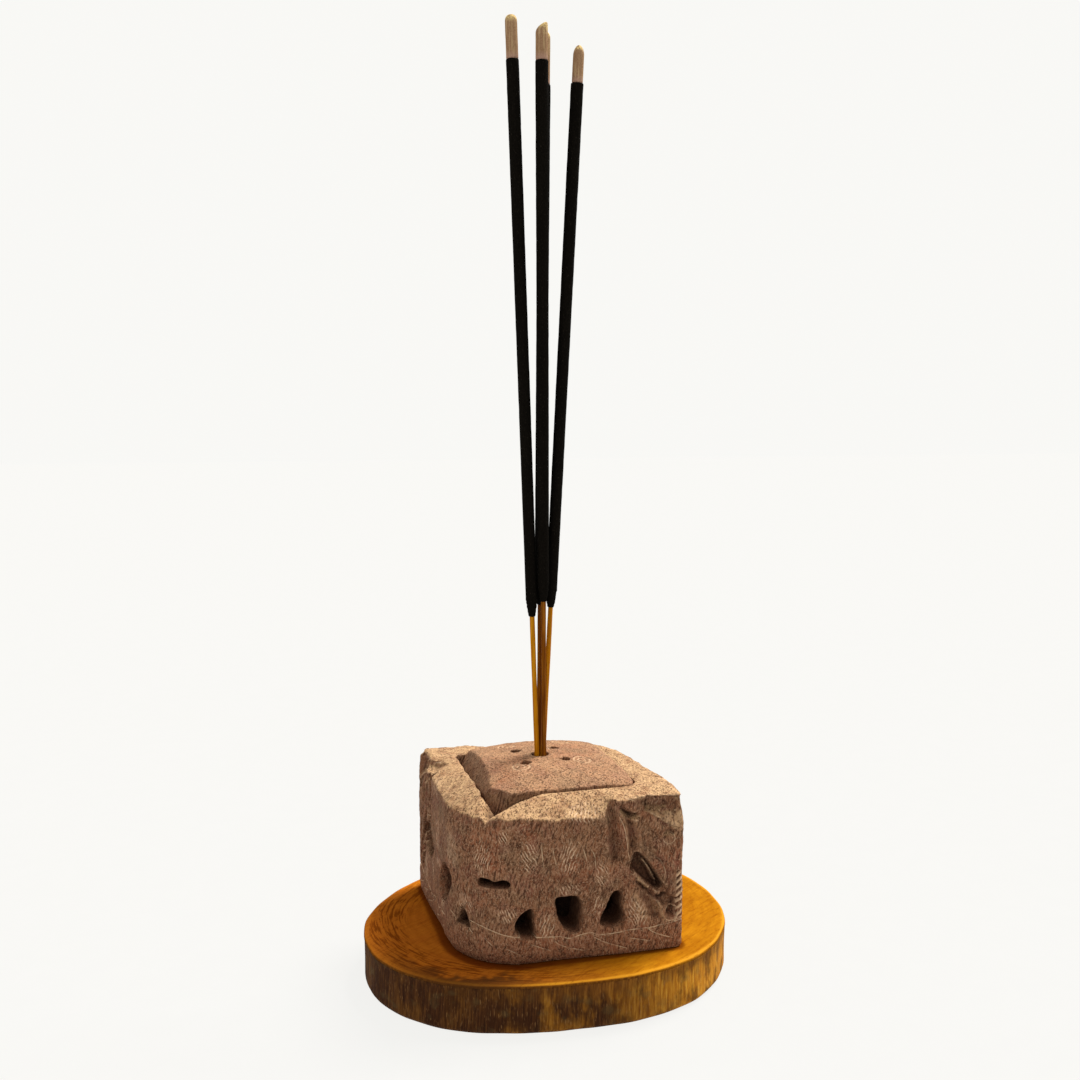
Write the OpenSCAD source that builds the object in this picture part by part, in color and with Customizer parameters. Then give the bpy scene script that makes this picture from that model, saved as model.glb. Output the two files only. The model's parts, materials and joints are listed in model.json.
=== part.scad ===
// Carved soapstone incense burner on a slice of wood, with four incense sticks
// standing in the lid. Millimetres, +Z up, front face towards -Y.
// The origin is the middle of the wood slice's plan box, on its underside.

/* [Wood slice] */
// Thickness of the wood slice
slice_t = 14.2; // [10:0.2:20]
// Mean radius of the slice's outline, bark included
slice_r = 51.5; // [50:0.1:56]
// Swell that makes the outline an oval, and the direction of its long axis
slice_oval = [3.7, 9]; // [0:0.1:45]
// Swell that gives the outline three soft corners, and the direction of one
slice_corners = [2, -44]; // [-60:0.5:60]
// Thickness of the bark round the slice
bark_t = 1.6; // [1:0.1:3]
// Height of bark left off at the slice's top and bottom edges
bark_edge_gap = 0.5; // [0.2:0.1:1.5]

/* [Stone burner] */
// Width of the burner along its front face
burner_w = 65.4; // [62:0.2:70]
// Depth of the burner from its front face to its back face
burner_d = 63.6; // [62:0.2:70]
// Height of the rim above the wood
burner_h = 45.7; // [42:0.1:50]
// Middle of the burner in plan
burner_at = [-0.6, -4.4]; // [-8:0.1:8]
// Radius of the two rounded corners, the elephants' rumps
rump_r = 21; // [15:0.5:23]
// Radius of the two corners that carry the elephants' heads
head_r = 2.5; // [1:0.1:5]
// Width and depth of the hollow inside
hollow_size = [38, 40]; // [30:0.5:42]
// Corner radius of the hollow
hollow_r = 8; // [4:0.5:12]
// Thickness of the burner's floor
floor_t = 5; // [3:0.5:7]
// Drop of the rim's outer edge below the rim
bevel_drop = 3.6; // [1:0.1:5]
// Width of the slope round the rim
bevel_w = 7; // [3:0.1:7.5]
// Depth of the notch in the rim at the front left corner
notch_depth = 5.5; // [3:0.1:8]
// Width of that notch at the rim
notch_w = 15; // [8:0.5:20]

/* [Lid] */
// Width and depth of the lid
lid_size = [43, 43.6]; // [38:0.2:44]
// Middle of the lid, from the middle of the burner
lid_at = [-0.4, -1.2]; // [-1:0.1:1]
// Corner radius of the lid
lid_r = 7; // [4:0.5:12]
// Gap between the lid and its seat
lid_gap = 0.5; // [0.3:0.1:1.5]
// Height of the lid's crown above the wood
crown_z = 49.8; // [48:0.1:53]
// Radius of the domed top
dome_r = 115; // [90:1:200]
// Width and drop of the slope along the lid's left edge
lid_bevel = [3, 4]; // [1:0.1:5]
// Height of the seat's ledge above the wood
ledge_z = 37; // [34:0.5:40]
// Width and depth of the plug under the lid
plug_size = [34, 36]; // [28:0.5:37]
// Length of the plug below the ledge
plug_h = 4; // [2:0.5:6]

/* [Lid holes] */
// Middle of the hole pattern, from the middle of the burner
holes_at = [-0.9, 0.6]; // [-3:0.1:3]
// Radius of the middle hole, which holds the sticks
socket_r = 2.6; // [2.6:0.05:3.2]
// Depth of the middle hole below the crown
socket_depth = 14; // [10:0.5:15]
// Radius of the four outer holes
hole_r = 1.55; // [1.2:0.05:2]
// Spacing of the four outer holes
hole_pitch = 12; // [10:0.2:16]

/* [Incense sticks] */
// Radius of the bamboo
bamboo_r = 0.74; // [0.5:0.02:0.76]
// Radius of the black paste at its lower and upper end
paste_r = [1.68, 1.85]; // [1.5:0.01:1.9]
// Length over which the paste tapers to the bamboo
paste_taper = 5; // [3:0.5:8]
// Radius of the tan tip
tip_r = 1.78; // [1.4:0.01:1.9]
// Length of the blunt point of the tip
tip_point = 2.6; // [1:0.1:4]
// Length of bamboo inside the tip
tip_bore = 7; // [4:0.5:8]

/* [Hidden] */

$fn = 48;
past = 1; // how far a cut runs past the face it starts from
foot_clear = 0.15; // keeps a leaning foot's edge off the socket's floor

// One row for each stick. foot: the bamboo's foot from the middle of the socket.
// lean: sideways run for each unit of height. paste_from and paste_to: the ends
// of the paste, and tip_to the tip's end, measured along the stick from its foot.
//            foot         lean             paste_from  paste_to  tip_to
left_stick = [[-0.7, -1.1], [-0.033, 0.009], 55.5, 213, 225];
middle_stick = [[0.9, -1.4], [-0.006, -0.009], 60, 212, 222.5];
right_stick = [[0.3, 0.1], [0.05, -0.005], 58, 207.5, 218];
back_stick = [[0.1, 1.8], [0.008, 0], 58.5, 207, 221.5];

// Outline of the slice at an angle, before it is centred on the origin.
function slice_at(a, inset) =
    (slice_r - inset
     + slice_oval[0] * cos(2 * (a - slice_oval[1]))
     + slice_corners[0] * cos(3 * (a - slice_corners[1])))
    * [cos(a), sin(a)];
outline_step = 4;
slice_outline = [for (a = [0 : outline_step : 359]) slice_at(a, 0)];
slice_mid = [(max([for (p = slice_outline) p.x]) + min([for (p = slice_outline) p.x])) / 2,
             (max([for (p = slice_outline) p.y]) + min([for (p = slice_outline) p.y])) / 2];

wall_cut = 16; // reaches from a face through the wall into the hollow
seat_size = lid_size + [2 * lid_gap, 2 * lid_gap];

module slice_plan(inset) {
    translate(-slice_mid)
        polygon([for (a = [0 : outline_step : 359]) slice_at(a, inset)]);
}

// Rectangle with rounded corners, its middle on the origin.
module rounded_plan(size, r) {
    for (along = [[size.x, size.y - 2 * r], [size.x - 2 * r, size.y]])
        square(along, center = true);
    for (sx = [-1, 1], sy = [-1, 1])
        translate([sx * (size.x / 2 - r), sy * (size.y / 2 - r)])
            circle(r = r);
}

// Waste outside one rounded corner, for a corner at +X +Y.
module corner_waste(r) {
    difference() {
        translate([-r, -r]) square(r + past);
        translate([-r, -r]) circle(r = r);
    }
}

// Plan of the burner: rumps at front left and back right, heads at the others.
module burner_plan() {
    difference() {
        square([burner_w, burner_d], center = true);
        for (s = [-1, 1]) {
            translate([s * burner_w / 2, s * burner_d / 2])
                rotate(s > 0 ? 0 : 180) corner_waste(rump_r);
            translate([s * burner_w / 2, -s * burner_d / 2])
                rotate(s > 0 ? -90 : 90) corner_waste(head_r);
        }
    }
}

// Cut through the front wall. The points are X and height.
module front_cut(points) {
    translate([0, -burner_d / 2 + wall_cut, 0])
        rotate([90, 0, 0])
            linear_extrude(height = wall_cut + past)
                polygon(points);
}

// Cut through the left wall. The points are Y and height.
module side_cut(points) {
    translate([-burner_w / 2 - past, 0, 0])
        rotate([90, 0, 90])
            linear_extrude(height = wall_cut + past)
                polygon(points);
}

// Gap between two legs: a foot, two shoulders and a peak.
module leg_gap(left, right, peak, shoulder, z_low, z_high) {
    half = (z_low + z_high) / 2;
    front_cut([[left, z_low + 1], [(left + right) / 2, z_low], [right, z_low + 1],
               [peak + shoulder / 2, half + 1], [peak + shoulder / 5, z_high],
               [peak - shoulder / 4, z_high - 0.6], [peak - shoulder / 2, half]]);
}

// Openings of the front face, and of the back face turned half round.
module front_openings() {
    leg_gap(-16.4, -11.2, -13.4, 5.6, 7.8, 17.2);
    leg_gap(-4.4, 2.4, -1.2, 8.2, 7.8, 18.8);
    leg_gap(8.4, 15.4, 11.6, 5.6, 7.4, 18.4);
    // Narrow slot under the tail, on the rounded corner.
    translate([-22.1, -28.3, 23.4])
        rotate(-30) cube([9.6, 30, 2.2], center = true);
    // Pocket between the ear and the tusk.
    translate([19.6, -burner_d / 2, 24])
        rotate([0, -35, 0]) cube([4.6, 8, 10], center = true);
}

// Openings of the left face, and of the right face turned half round.
module side_openings() {
    // Tall gap behind the hind leg.
    side_cut([[-17.2, 14], [-14, 11.6], [-9, 11], [-6.4, 14], [-6.4, 19], [-10, 21.8], [-17, 19]]);
    // Gap under the chest.
    side_cut([[8.4, 12.4], [12, 10.6], [16.6, 14], [14.8, 21], [11, 23.4], [8, 18]]);
    // Small gap at the foot of the rounded corner.
    translate([-burner_w / 2 + rump_r, -burner_d / 2 + rump_r, 0])
        rotate(212)
            rotate([90, 0, 90])
                linear_extrude(height = rump_r + past)
                    polygon([[-2.6, 10], [-0.4, 15.4], [2.2, 13.6], [2.4, 11.4]]);
}

// Slope round the rim: one tilted cutter for each face.
module rim_bevel() {
    slope = atan(bevel_drop / bevel_w);
    for (side = [[0, burner_d], [90, burner_w], [180, burner_d], [270, burner_w]])
        rotate(side[0])
            translate([-burner_w, -side[1] / 2, burner_h - bevel_drop])
                rotate([slope, 0, 0])
                    translate([0, -burner_w, 0]) cube([2 * burner_w, 2 * burner_w, 20]);
}

// V-shaped notch across the rim at the front left corner.
module rim_notch() {
    reach = 30;
    translate([0, 0, burner_h])
        rotate(45)
            translate([-burner_w / 2, 0, 0])
                rotate([90, 0, 90])
                    translate([0, 0, -reach / 2])
                        linear_extrude(height = reach)
                            polygon([[-notch_w / 2, past], [0, -notch_depth], [notch_w / 2, past]]);
}

// Waste above the slope along the lid's left edge.
module lid_bevel_waste() {
    edge_x = lid_at.x - lid_size.x / 2;
    edge_z = crown_z - dome_r + sqrt(pow(dome_r, 2) - pow(edge_x, 2));
    translate([edge_x, 0, edge_z - lid_bevel.y])
        rotate([0, -atan(lid_bevel.y / lid_bevel.x), 0])
            translate([-lid_size.x, -lid_size.y, 0]) cube([2 * lid_size.x, 2 * lid_size.y, 20]);
}

module wood_slice() {
    color("goldenrod")
        linear_extrude(height = slice_t) slice_plan(bark_t);
}

module bark_edge() {
    color("saddlebrown")
        translate([0, 0, bark_edge_gap])
            linear_extrude(height = slice_t - 2 * bark_edge_gap)
                difference() {
                    slice_plan(0);
                    slice_plan(bark_t);
                }
}

module stone_burner() {
    color("rosybrown")
        translate([burner_at.x, burner_at.y, slice_t])
            difference() {
                linear_extrude(height = burner_h) burner_plan();
                translate([0, 0, floor_t])
                    linear_extrude(height = burner_h) rounded_plan(hollow_size, hollow_r);
                translate([lid_at.x, lid_at.y, ledge_z])
                    linear_extrude(height = burner_h) rounded_plan(seat_size, lid_r + lid_gap);
                for (turn = [0, 180]) rotate(turn) {
                    front_openings();
                    side_openings();
                }
                rim_bevel();
                rim_notch();
            }
}

module stone_lid() {
    color("tan")
        translate([burner_at.x, burner_at.y, slice_t])
            difference() {
                union() {
                    intersection() {
                        translate([lid_at.x, lid_at.y, ledge_z])
                            linear_extrude(height = 20) rounded_plan(lid_size, lid_r);
                        translate([0, 0, crown_z - dome_r]) sphere(r = dome_r);
                    }
                    translate([0, 0, ledge_z - plug_h])
                        linear_extrude(height = plug_h + past) rounded_plan(plug_size, lid_r);
                }
                lid_bevel_waste();
                translate([holes_at.x, holes_at.y, crown_z - socket_depth])
                    cylinder(r = socket_r, h = socket_depth + past);
                for (sx = [-1, 1], sy = [-1, 1])
                    translate([holes_at.x + sx * hole_pitch / 2, holes_at.y + sy * hole_pitch / 2, 0])
                        cylinder(r = hole_r, h = 2 * crown_z);
            }
}

// Puts its children on a stick's axis, with the foot of the bamboo at zero.
module along_stick(stick) {
    foot = stick[0];
    lean = stick[1];
    translate([burner_at.x + holes_at.x + foot.x, burner_at.y + holes_at.y + foot.y,
               slice_t + crown_z - socket_depth])
        rotate([0, atan(norm(lean)), atan2(lean.y, lean.x)])
            translate([0, 0, foot_clear])
                children();
}

module stick_bamboo(stick) {
    color("peru")
        along_stick(stick) cylinder(r = bamboo_r, h = stick[3] + tip_bore);
}

module stick_paste(stick) {
    from = stick[2];
    to = stick[3];
    color("black")
        along_stick(stick)
            difference() {
                union() {
                    translate([0, 0, from])
                        cylinder(r1 = bamboo_r + 0.25, r2 = paste_r[0], h = paste_taper);
                    translate([0, 0, from + paste_taper])
                        cylinder(r1 = paste_r[0], r2 = paste_r[1], h = to - from - paste_taper);
                }
                cylinder(r = bamboo_r, h = to + past);
            }
}

module stick_tip(stick) {
    from = stick[3];
    to = stick[4];
    color("burlywood")
        along_stick(stick)
            difference() {
                union() {
                    translate([0, 0, from]) cylinder(r = tip_r, h = to - from - tip_point);
                    translate([0, 0, to - tip_point])
                        cylinder(r1 = tip_r, r2 = tip_r / 3, h = tip_point);
                }
                cylinder(r = bamboo_r, h = from + tip_bore);
            }
}

wood_slice();
bark_edge();
stone_burner();
stone_lid();
stick_bamboo(left_stick);  // left_stick_bamboo
stick_paste(left_stick);  // left_stick_paste
stick_tip(left_stick);  // left_stick_tip
stick_bamboo(middle_stick);  // middle_stick_bamboo
stick_paste(middle_stick);  // middle_stick_paste
stick_tip(middle_stick);  // middle_stick_tip
stick_bamboo(right_stick);  // right_stick_bamboo
stick_paste(right_stick);  // right_stick_paste
stick_tip(right_stick);  // right_stick_tip
stick_bamboo(back_stick);  // back_stick_bamboo
stick_paste(back_stick);  // back_stick_paste
stick_tip(back_stick);  // back_stick_tip
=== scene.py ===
import json
import math

import bpy
import numpy as np
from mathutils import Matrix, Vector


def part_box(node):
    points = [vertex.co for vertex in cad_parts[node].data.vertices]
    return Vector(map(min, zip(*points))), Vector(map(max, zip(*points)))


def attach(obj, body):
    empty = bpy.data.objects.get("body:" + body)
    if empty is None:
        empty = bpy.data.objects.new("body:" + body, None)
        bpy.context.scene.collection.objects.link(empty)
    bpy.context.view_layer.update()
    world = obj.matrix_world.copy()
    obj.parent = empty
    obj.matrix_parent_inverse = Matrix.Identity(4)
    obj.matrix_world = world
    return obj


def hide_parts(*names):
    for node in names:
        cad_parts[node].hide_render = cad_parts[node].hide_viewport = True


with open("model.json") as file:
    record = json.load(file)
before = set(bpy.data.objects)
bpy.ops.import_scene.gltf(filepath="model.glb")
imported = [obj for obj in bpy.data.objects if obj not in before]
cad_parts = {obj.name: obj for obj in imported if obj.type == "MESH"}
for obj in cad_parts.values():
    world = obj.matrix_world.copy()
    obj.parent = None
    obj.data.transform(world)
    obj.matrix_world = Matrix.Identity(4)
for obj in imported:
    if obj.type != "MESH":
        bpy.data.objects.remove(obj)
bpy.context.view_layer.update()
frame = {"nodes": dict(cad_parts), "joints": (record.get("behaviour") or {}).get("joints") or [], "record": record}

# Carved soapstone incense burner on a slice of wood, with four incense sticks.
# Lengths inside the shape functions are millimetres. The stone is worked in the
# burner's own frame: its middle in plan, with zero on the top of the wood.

MM = 0.001
rng = np.random.default_rng(11)

# ---------------------------------------------------------------- camera

LENS_MM = 38.3
SENSOR_MM = 36.0
CAMERA_PLACE = (-0.0917, -0.3257, 0.1639)    # metres
CAMERA_DOWN = 6.12                           # degrees below level
CAMERA_RIGHT = 15.66                         # degrees to the right of straight ahead

camera_data = bpy.data.cameras.new("camera")
camera_data.lens = LENS_MM
camera_data.sensor_width = SENSOR_MM
camera = bpy.data.objects.new("camera", camera_data)
bpy.context.scene.collection.objects.link(camera)
camera.location = CAMERA_PLACE
camera.rotation_euler = (math.radians(90 - CAMERA_DOWN), 0, math.radians(-CAMERA_RIGHT))
bpy.context.scene.camera = camera
bpy.context.scene.view_settings.view_transform = "Standard"

# ---------------------------------------------------------------- sizes from the frame

burner_lo, burner_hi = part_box("stone_burner")
burner_size = (burner_hi - burner_lo) / MM
half_w = burner_size.x / 2
half_d = burner_size.y / 2
rim_z = burner_size.z
stone_origin = np.array([(burner_lo.x + burner_hi.x) / 2, (burner_lo.y + burner_hi.y) / 2, burner_lo.z])

lid_lo = (np.array(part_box("stone_lid")[0]) - stone_origin) / MM
lid_hi = (np.array(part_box("stone_lid")[1]) - stone_origin) / MM
crown_z = lid_hi[2]

mounts = {m["name"]: m for m in frame["record"]["mounts"]}
hole_spots = {name: (np.array(mounts[name]["pos_m"]) - stone_origin) / MM
              for name in ("front_left_hole", "back_right_hole")}
holes_mid = (hole_spots["front_left_hole"] + hole_spots["back_right_hole"])[:2] / 2
hole_offset = abs(hole_spots["back_right_hole"][0] - holes_mid[0])
hole_r = mounts["front_left_hole"]["dims"]["r_mm"]

RUMP_R = 21.0      # rounded corners at front left and back right
HEAD_R = 2.5       # corners with the elephants' heads
FLOOR_T = 5.0      # floor under the hollow
LEDGE_Z = 37.0     # seat of the lid
SEAT_GAP = 0.5     # between the lid and its seat
SOCKET_R = 2.6     # middle hole of the lid
SOCKET_DEPTH = 14.0

# ---------------------------------------------------------------- number helpers


def smoothstep(low, high, x):
    t = np.clip((x - low) / (high - low), 0, 1)
    return t * t * (3 - 2 * t)


def smooth_max(a, b, k):
    h = np.clip(0.5 + 0.5 * (a - b) / k, 0, 1)
    return b + (a - b) * h + k * h * (1 - h)


def smooth_cut(solid, waste, k):
    """The solid with the waste taken out, its new edges rounded over about k."""
    return smooth_max(solid, -waste, k)


def bump(distance, width):
    """1 on a line, falling softly to 0 at the width."""
    t = np.clip(1 - (distance / width) ** 2, 0, 1)
    return t * t


def noise(points, size, seed):
    """Smooth value noise from -1 to 1 with blobs of the given size."""
    table = np.random.default_rng(seed).uniform(-1, 1, (32, 32, 32))
    p = points / size
    cell = np.floor(p).astype(int)
    f = p - cell
    f = f * f * (3 - 2 * f)
    total = 0
    for dx in (0, 1):
        for dy in (0, 1):
            for dz in (0, 1):
                weight = (np.where(dx, f[:, 0], 1 - f[:, 0])
                          * np.where(dy, f[:, 1], 1 - f[:, 1])
                          * np.where(dz, f[:, 2], 1 - f[:, 2]))
                corner = (cell + (dx, dy, dz)) % 32
                total = total + weight * table[corner[:, 0], corner[:, 1], corner[:, 2]]
    return total


def spline(points, closed=False, steps=6):
    """A smooth curve through the points."""
    p = np.array(points, float)
    count = len(p)
    out = []
    for i in range(count if closed else count - 1):
        if closed:
            a, b, c, d = (p[(i + k) % count] for k in (-1, 0, 1, 2))
        else:
            a, b, c, d = p[max(i - 1, 0)], p[i], p[i + 1], p[min(i + 2, count - 1)]
        for t in np.linspace(0, 1, steps, endpoint=False):
            out.append(0.5 * (2 * b + (c - a) * t + (2 * a - 5 * b + 4 * c - d) * t ** 2
                              + (3 * b - a - 3 * c + d) * t ** 3))
    if not closed:
        out.append(p[-1])
    return np.array(out)


def to_path(u, z, path):
    """Distance from each spot to a path, how far along it (0 to 1) that is, and
    1 or -1 for the side of the path that the spot is on."""
    best = np.full(np.shape(u), 1e9)
    along = np.zeros(np.shape(u))
    side = np.ones(np.shape(u))
    run = np.hypot(*(path[1:] - path[:-1]).T)
    start = np.concatenate([[0], np.cumsum(run)])
    for a, b, length, begin in zip(path[:-1], path[1:], run, start):
        ab = b - a
        du, dz = u - a[0], z - a[1]
        t = np.clip((du * ab[0] + dz * ab[1]) / (ab @ ab), 0, 1)
        d = np.hypot(du - t * ab[0], dz - t * ab[1])
        closer = d < best
        best = np.where(closer, d, best)
        along = np.where(closer, (begin + t * length) / start[-1], along)
        side = np.where(closer, np.where(ab[0] * dz - ab[1] * du < 0, -1, 1), side)
    return best, along, side


def to_outline(u, z, outline):
    """Signed distance to a closed outline, negative inside."""
    loop = np.vstack([outline, outline[:1]])
    d, _, _ = to_path(u, z, loop)
    inside = np.zeros(np.shape(u), bool)
    for a, b in zip(loop[:-1], loop[1:]):
        if a[1] != b[1]:
            crosses = (a[1] > z) != (b[1] > z)
            inside ^= crosses & (u < a[0] + (z - a[1]) / (b[1] - a[1]) * (b[0] - a[0]))
    return np.where(inside, -d, d)


def rounded_box(x, y, lo, hi, r):
    """Signed distance in plan to a rectangle with rounded corners."""
    qx = np.abs(x - (lo[0] + hi[0]) / 2) - (hi[0] - lo[0]) / 2 + r
    qy = np.abs(y - (lo[1] + hi[1]) / 2) - (hi[1] - lo[1]) / 2 + r
    return np.hypot(np.maximum(qx, 0), np.maximum(qy, 0)) + np.minimum(np.maximum(qx, qy), 0) - r


# ---------------------------------------------------------------- mesh helpers


def surface_of(field, axes):
    """Vertices and quads on the zero surface of a field sampled on a grid."""
    inside = field < 0
    corners = [(i, j, k) for i in (0, 1) for j in (0, 1) for k in (0, 1)]
    size = np.array(field.shape)
    count = np.zeros(size - 1, np.int8)
    for i, j, k in corners:
        count += inside[i:size[0] - 1 + i, j:size[1] - 1 + j, k:size[2] - 1 + k]
    active = (count > 0) & (count < 8)
    number = np.full(active.shape, -1)
    cells = np.argwhere(active)
    number[active] = np.arange(len(cells))
    value = {c: field[cells[:, 0] + c[0], cells[:, 1] + c[1], cells[:, 2] + c[2]] for c in corners}
    total = np.zeros((len(cells), 3))
    hits = np.zeros(len(cells))
    for a in corners:
        for axis in range(3):
            if a[axis] == 0:
                b = tuple(1 if k == axis else a[k] for k in range(3))
                crossing = (value[a] < 0) != (value[b] < 0)
                t = np.where(crossing, value[a] / np.where(crossing, value[a] - value[b], 1), 0)
                spot = np.array(a, float)[None, :].repeat(len(cells), 0)
                spot[:, axis] = t
                total += spot * crossing[:, None]
                hits += crossing
    step = np.array([ax[1] - ax[0] for ax in axes])
    start = np.array([ax[0] for ax in axes])
    vertices = start + (cells + total / hits[:, None]) * step
    quads = []
    for axis in range(3):
        u, v = (axis + 1) % 3, (axis + 2) % 3
        near = [slice(1, n - 1) for n in size]
        far = [slice(1, n - 1) for n in size]
        near[axis] = slice(0, size[axis] - 1)
        far[axis] = slice(1, size[axis])
        changes = inside[tuple(near)] != inside[tuple(far)]
        at = np.argwhere(changes)
        leaving = inside[tuple(near)][changes]
        at[:, u] += 1
        at[:, v] += 1
        du, dv = np.eye(3, dtype=int)[u], np.eye(3, dtype=int)[v]
        ring = [number[tuple((at - s).T)] for s in (du + dv, dv, 0 * du, du)]
        quad = np.stack(ring, 1)
        quads.append(np.where(leaving[:, None], quad, quad[:, ::-1]))
    return vertices, np.vstack(quads)


def add_mesh(name, vertices, faces):
    """A smooth-shaded mesh object from vertices in metres. faces is an array, or a list of
    faces with different numbers of corners."""
    mesh = bpy.data.meshes.new(name)
    if isinstance(faces, np.ndarray):
        width = faces.shape[1]
        mesh.vertices.add(len(vertices))
        mesh.vertices.foreach_set("co", np.asarray(vertices, np.float32).ravel())
        mesh.loops.add(faces.size)
        mesh.loops.foreach_set("vertex_index", faces.ravel().astype(np.int32))
        mesh.polygons.add(len(faces))
        mesh.polygons.foreach_set("loop_start", np.arange(0, faces.size, width, dtype=np.int32))
        mesh.update(calc_edges=True)
    else:
        mesh.from_pydata([tuple(v) for v in vertices], [], faces)
    mesh.validate()
    mesh.polygons.foreach_set("use_smooth", [True] * len(mesh.polygons))
    obj = bpy.data.objects.new(name, mesh)
    bpy.context.scene.collection.objects.link(obj)
    return obj


def vertex_data(obj, what="co"):
    """One row of three for each vertex: its place in metres, or its normal."""
    values = np.zeros(len(obj.data.vertices) * 3)
    obj.data.vertices.foreach_get(what, values)
    return values.reshape(-1, 3)


def in_stone(places):
    """Places in metres as millimetres in the stone's own frame."""
    return (places - stone_origin) / MM


def apply_modifier(obj, kind, **settings):
    modifier = obj.modifiers.new(kind.lower(), kind)
    for key, value in settings.items():
        setattr(modifier, key, value)
    bpy.context.view_layer.objects.active = obj
    bpy.ops.object.modifier_apply(modifier=modifier.name)


def move_vertices(obj, places):
    obj.data.vertices.foreach_set("co", np.asarray(places, np.float32).ravel())
    obj.data.update()


def set_attributes(obj, masks):
    """Stores masks from 0 to 1 on the vertices, for the materials to read by name."""
    for name, values in masks.items():
        attribute = obj.data.attributes.new(name, "FLOAT", "POINT")
        attribute.data.foreach_set("value", np.clip(values, 0, 1).astype(np.float32))


def thin_out(obj, triangles):
    """Collapses the flattest triangles until about this many are left."""
    have = sum(len(p.vertices) - 2 for p in obj.data.polygons)
    apply_modifier(obj, "DECIMATE", ratio=min(1.0, triangles / have))
    obj.data.polygons.foreach_set("use_smooth", [True] * len(obj.data.polygons))


def carve(name, field, axes, triangles, finish):
    """Mesh of a stone field. finish(places) gives the depth of its fine marks."""
    vertices, quads = surface_of(field, axes)
    obj = add_mesh(name, stone_origin + vertices * MM, quads)
    co = vertex_data(obj)
    depth = finish(in_stone(co))[:, None] * MM
    move_vertices(obj, co - vertex_data(obj, "normal") * depth)
    thin_out(obj, triangles)
    return obj


# ---------------------------------------------------------------- burner, in millimetres

# Openings of the front and back faces: position along the face, towards the
# elephant's head, and height above the wood.
FRONT_GAPS = [
    [(-17.0, 12.1), (-15.3, 14.7), (-12.6, 16.4), (-11.4, 15.4), (-11.1, 12.0), (-10.9, 8.2),
     (-13.2, 7.6), (-16.3, 9.2)],
    [(-5.2, 18.5), (-2.1, 18.8), (1.0, 18.3), (2.3, 16.6), (2.7, 14.7), (2.3, 11.3), (1.8, 8.0),
     (-0.8, 8.0), (-3.3, 9.8), (-4.6, 12.8), (-5.4, 15.9)],
    [(7.6, 9.4), (7.7, 11.6), (8.9, 14.2), (10.2, 16.8), (11.7, 18.6), (13.5, 18.4), (14.5, 16.6),
     (14.4, 13.8), (15.1, 11.2), (14.7, 9.0), (12.8, 8.0), (10.0, 8.3)],
]
# Openings of the left and right faces.
SIDE_GAPS = [
    [(-16.5, 18.0), (-11.5, 12.4), (-7.2, 10.4), (-3.4, 13.0), (-3.0, 17.6), (-7.4, 22.4),
     (-12.6, 24.4), (-16.8, 22.6)],
    [(7.0, 22.8), (8.6, 26.4), (12.4, 28.2), (16.4, 26.4), (18.6, 22.0), (17.6, 17.4), (12.4, 16.4),
     (8.4, 18.6)],
]
# Hole right through the pocket, behind the tusk.
POCKET_HOLE = [(16.0, 24.6), (16.6, 26.6), (17.8, 27.6), (18.0, 25.4), (17.4, 23.8), (16.6, 23.6)]
GAP_REACH = 16.0
EAR_EDGE = [(12.8, 40.2), (14.3, 37.0), (15.1, 33.4), (15.5, 30.0), (16.0, 27.4)]
TUSK = [(20.2, 26.6), (22.0, 24.1), (23.6, 21.2), (25.4, 17.8)]
ROPE_PITCH = 1.95

# Drop of the rim's outer edge along the front and back faces, towards the head.
HEAD_RUN_DROP = ([-20, -12, -7, 0, 6.5, 9.0, 11.5, 16, 31],
                 [3.7, 4.3, 4.8, 5.4, 5.8, 4.8, 1.6, 0.9, 0.8])
RIM_SLOPE = 8.2                      # how far in from the face the rim slopes
CRACK_START = (-33, 23)
CRACK_RUN = np.array([6.5, -9.5])    # from its start to its end
CRACK_LENGTH = 11.5
SLOT_SPOT = (22.1, 28.3, 23.5)       # middle of the tail's slot, out from the burner's middle
NOTCH_Z = 39.9                       # bottom of the V notch
NOTCH_RISE = 6.4                     # height of its flanks


def wall_shape(x, y):
    """Signed distance in plan to the burner's outline: two rumps and two heads."""
    radius = np.where(x * y > 0, RUMP_R, HEAD_R)
    qx = np.abs(x) - half_w + radius
    qy = np.abs(y) - half_d + radius
    return np.hypot(np.maximum(qx, 0), np.maximum(qy, 0)) + np.minimum(np.maximum(qx, qy), 0) - radius


def head_edge(z):
    """How far the carved head's edge stands in from the plain corner at a height."""
    heights = [0, 3, 8, 16.6, 20, 23.7, 29.3, 34.2, 37.5, 39.5, 42, 44.4, 46.6]
    inset = [0.0, 0.0, 0.0, 0.1, 0.2, 0.35, 0.1, 0.0, 0.3, 0.7, 1.1, 1.2, 1.2]
    return np.interp(z, heights, inset)


def stroke(u, z, points, width, depth, fade=0.12):
    """A carved channel along a curve, fading at its ends."""
    d, along, _ = to_path(u, z, spline(points))
    ends = smoothstep(0, fade, along) * smoothstep(0, fade, 1 - along)
    return depth * bump(d, width) * (0.35 + 0.65 * ends)


def patch(u, z, outline, depth, soft):
    """A carved area with walls as wide as the softness."""
    return depth * smoothstep(soft, -soft, to_outline(u, z, spline(outline, closed=True, steps=3)))


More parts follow.
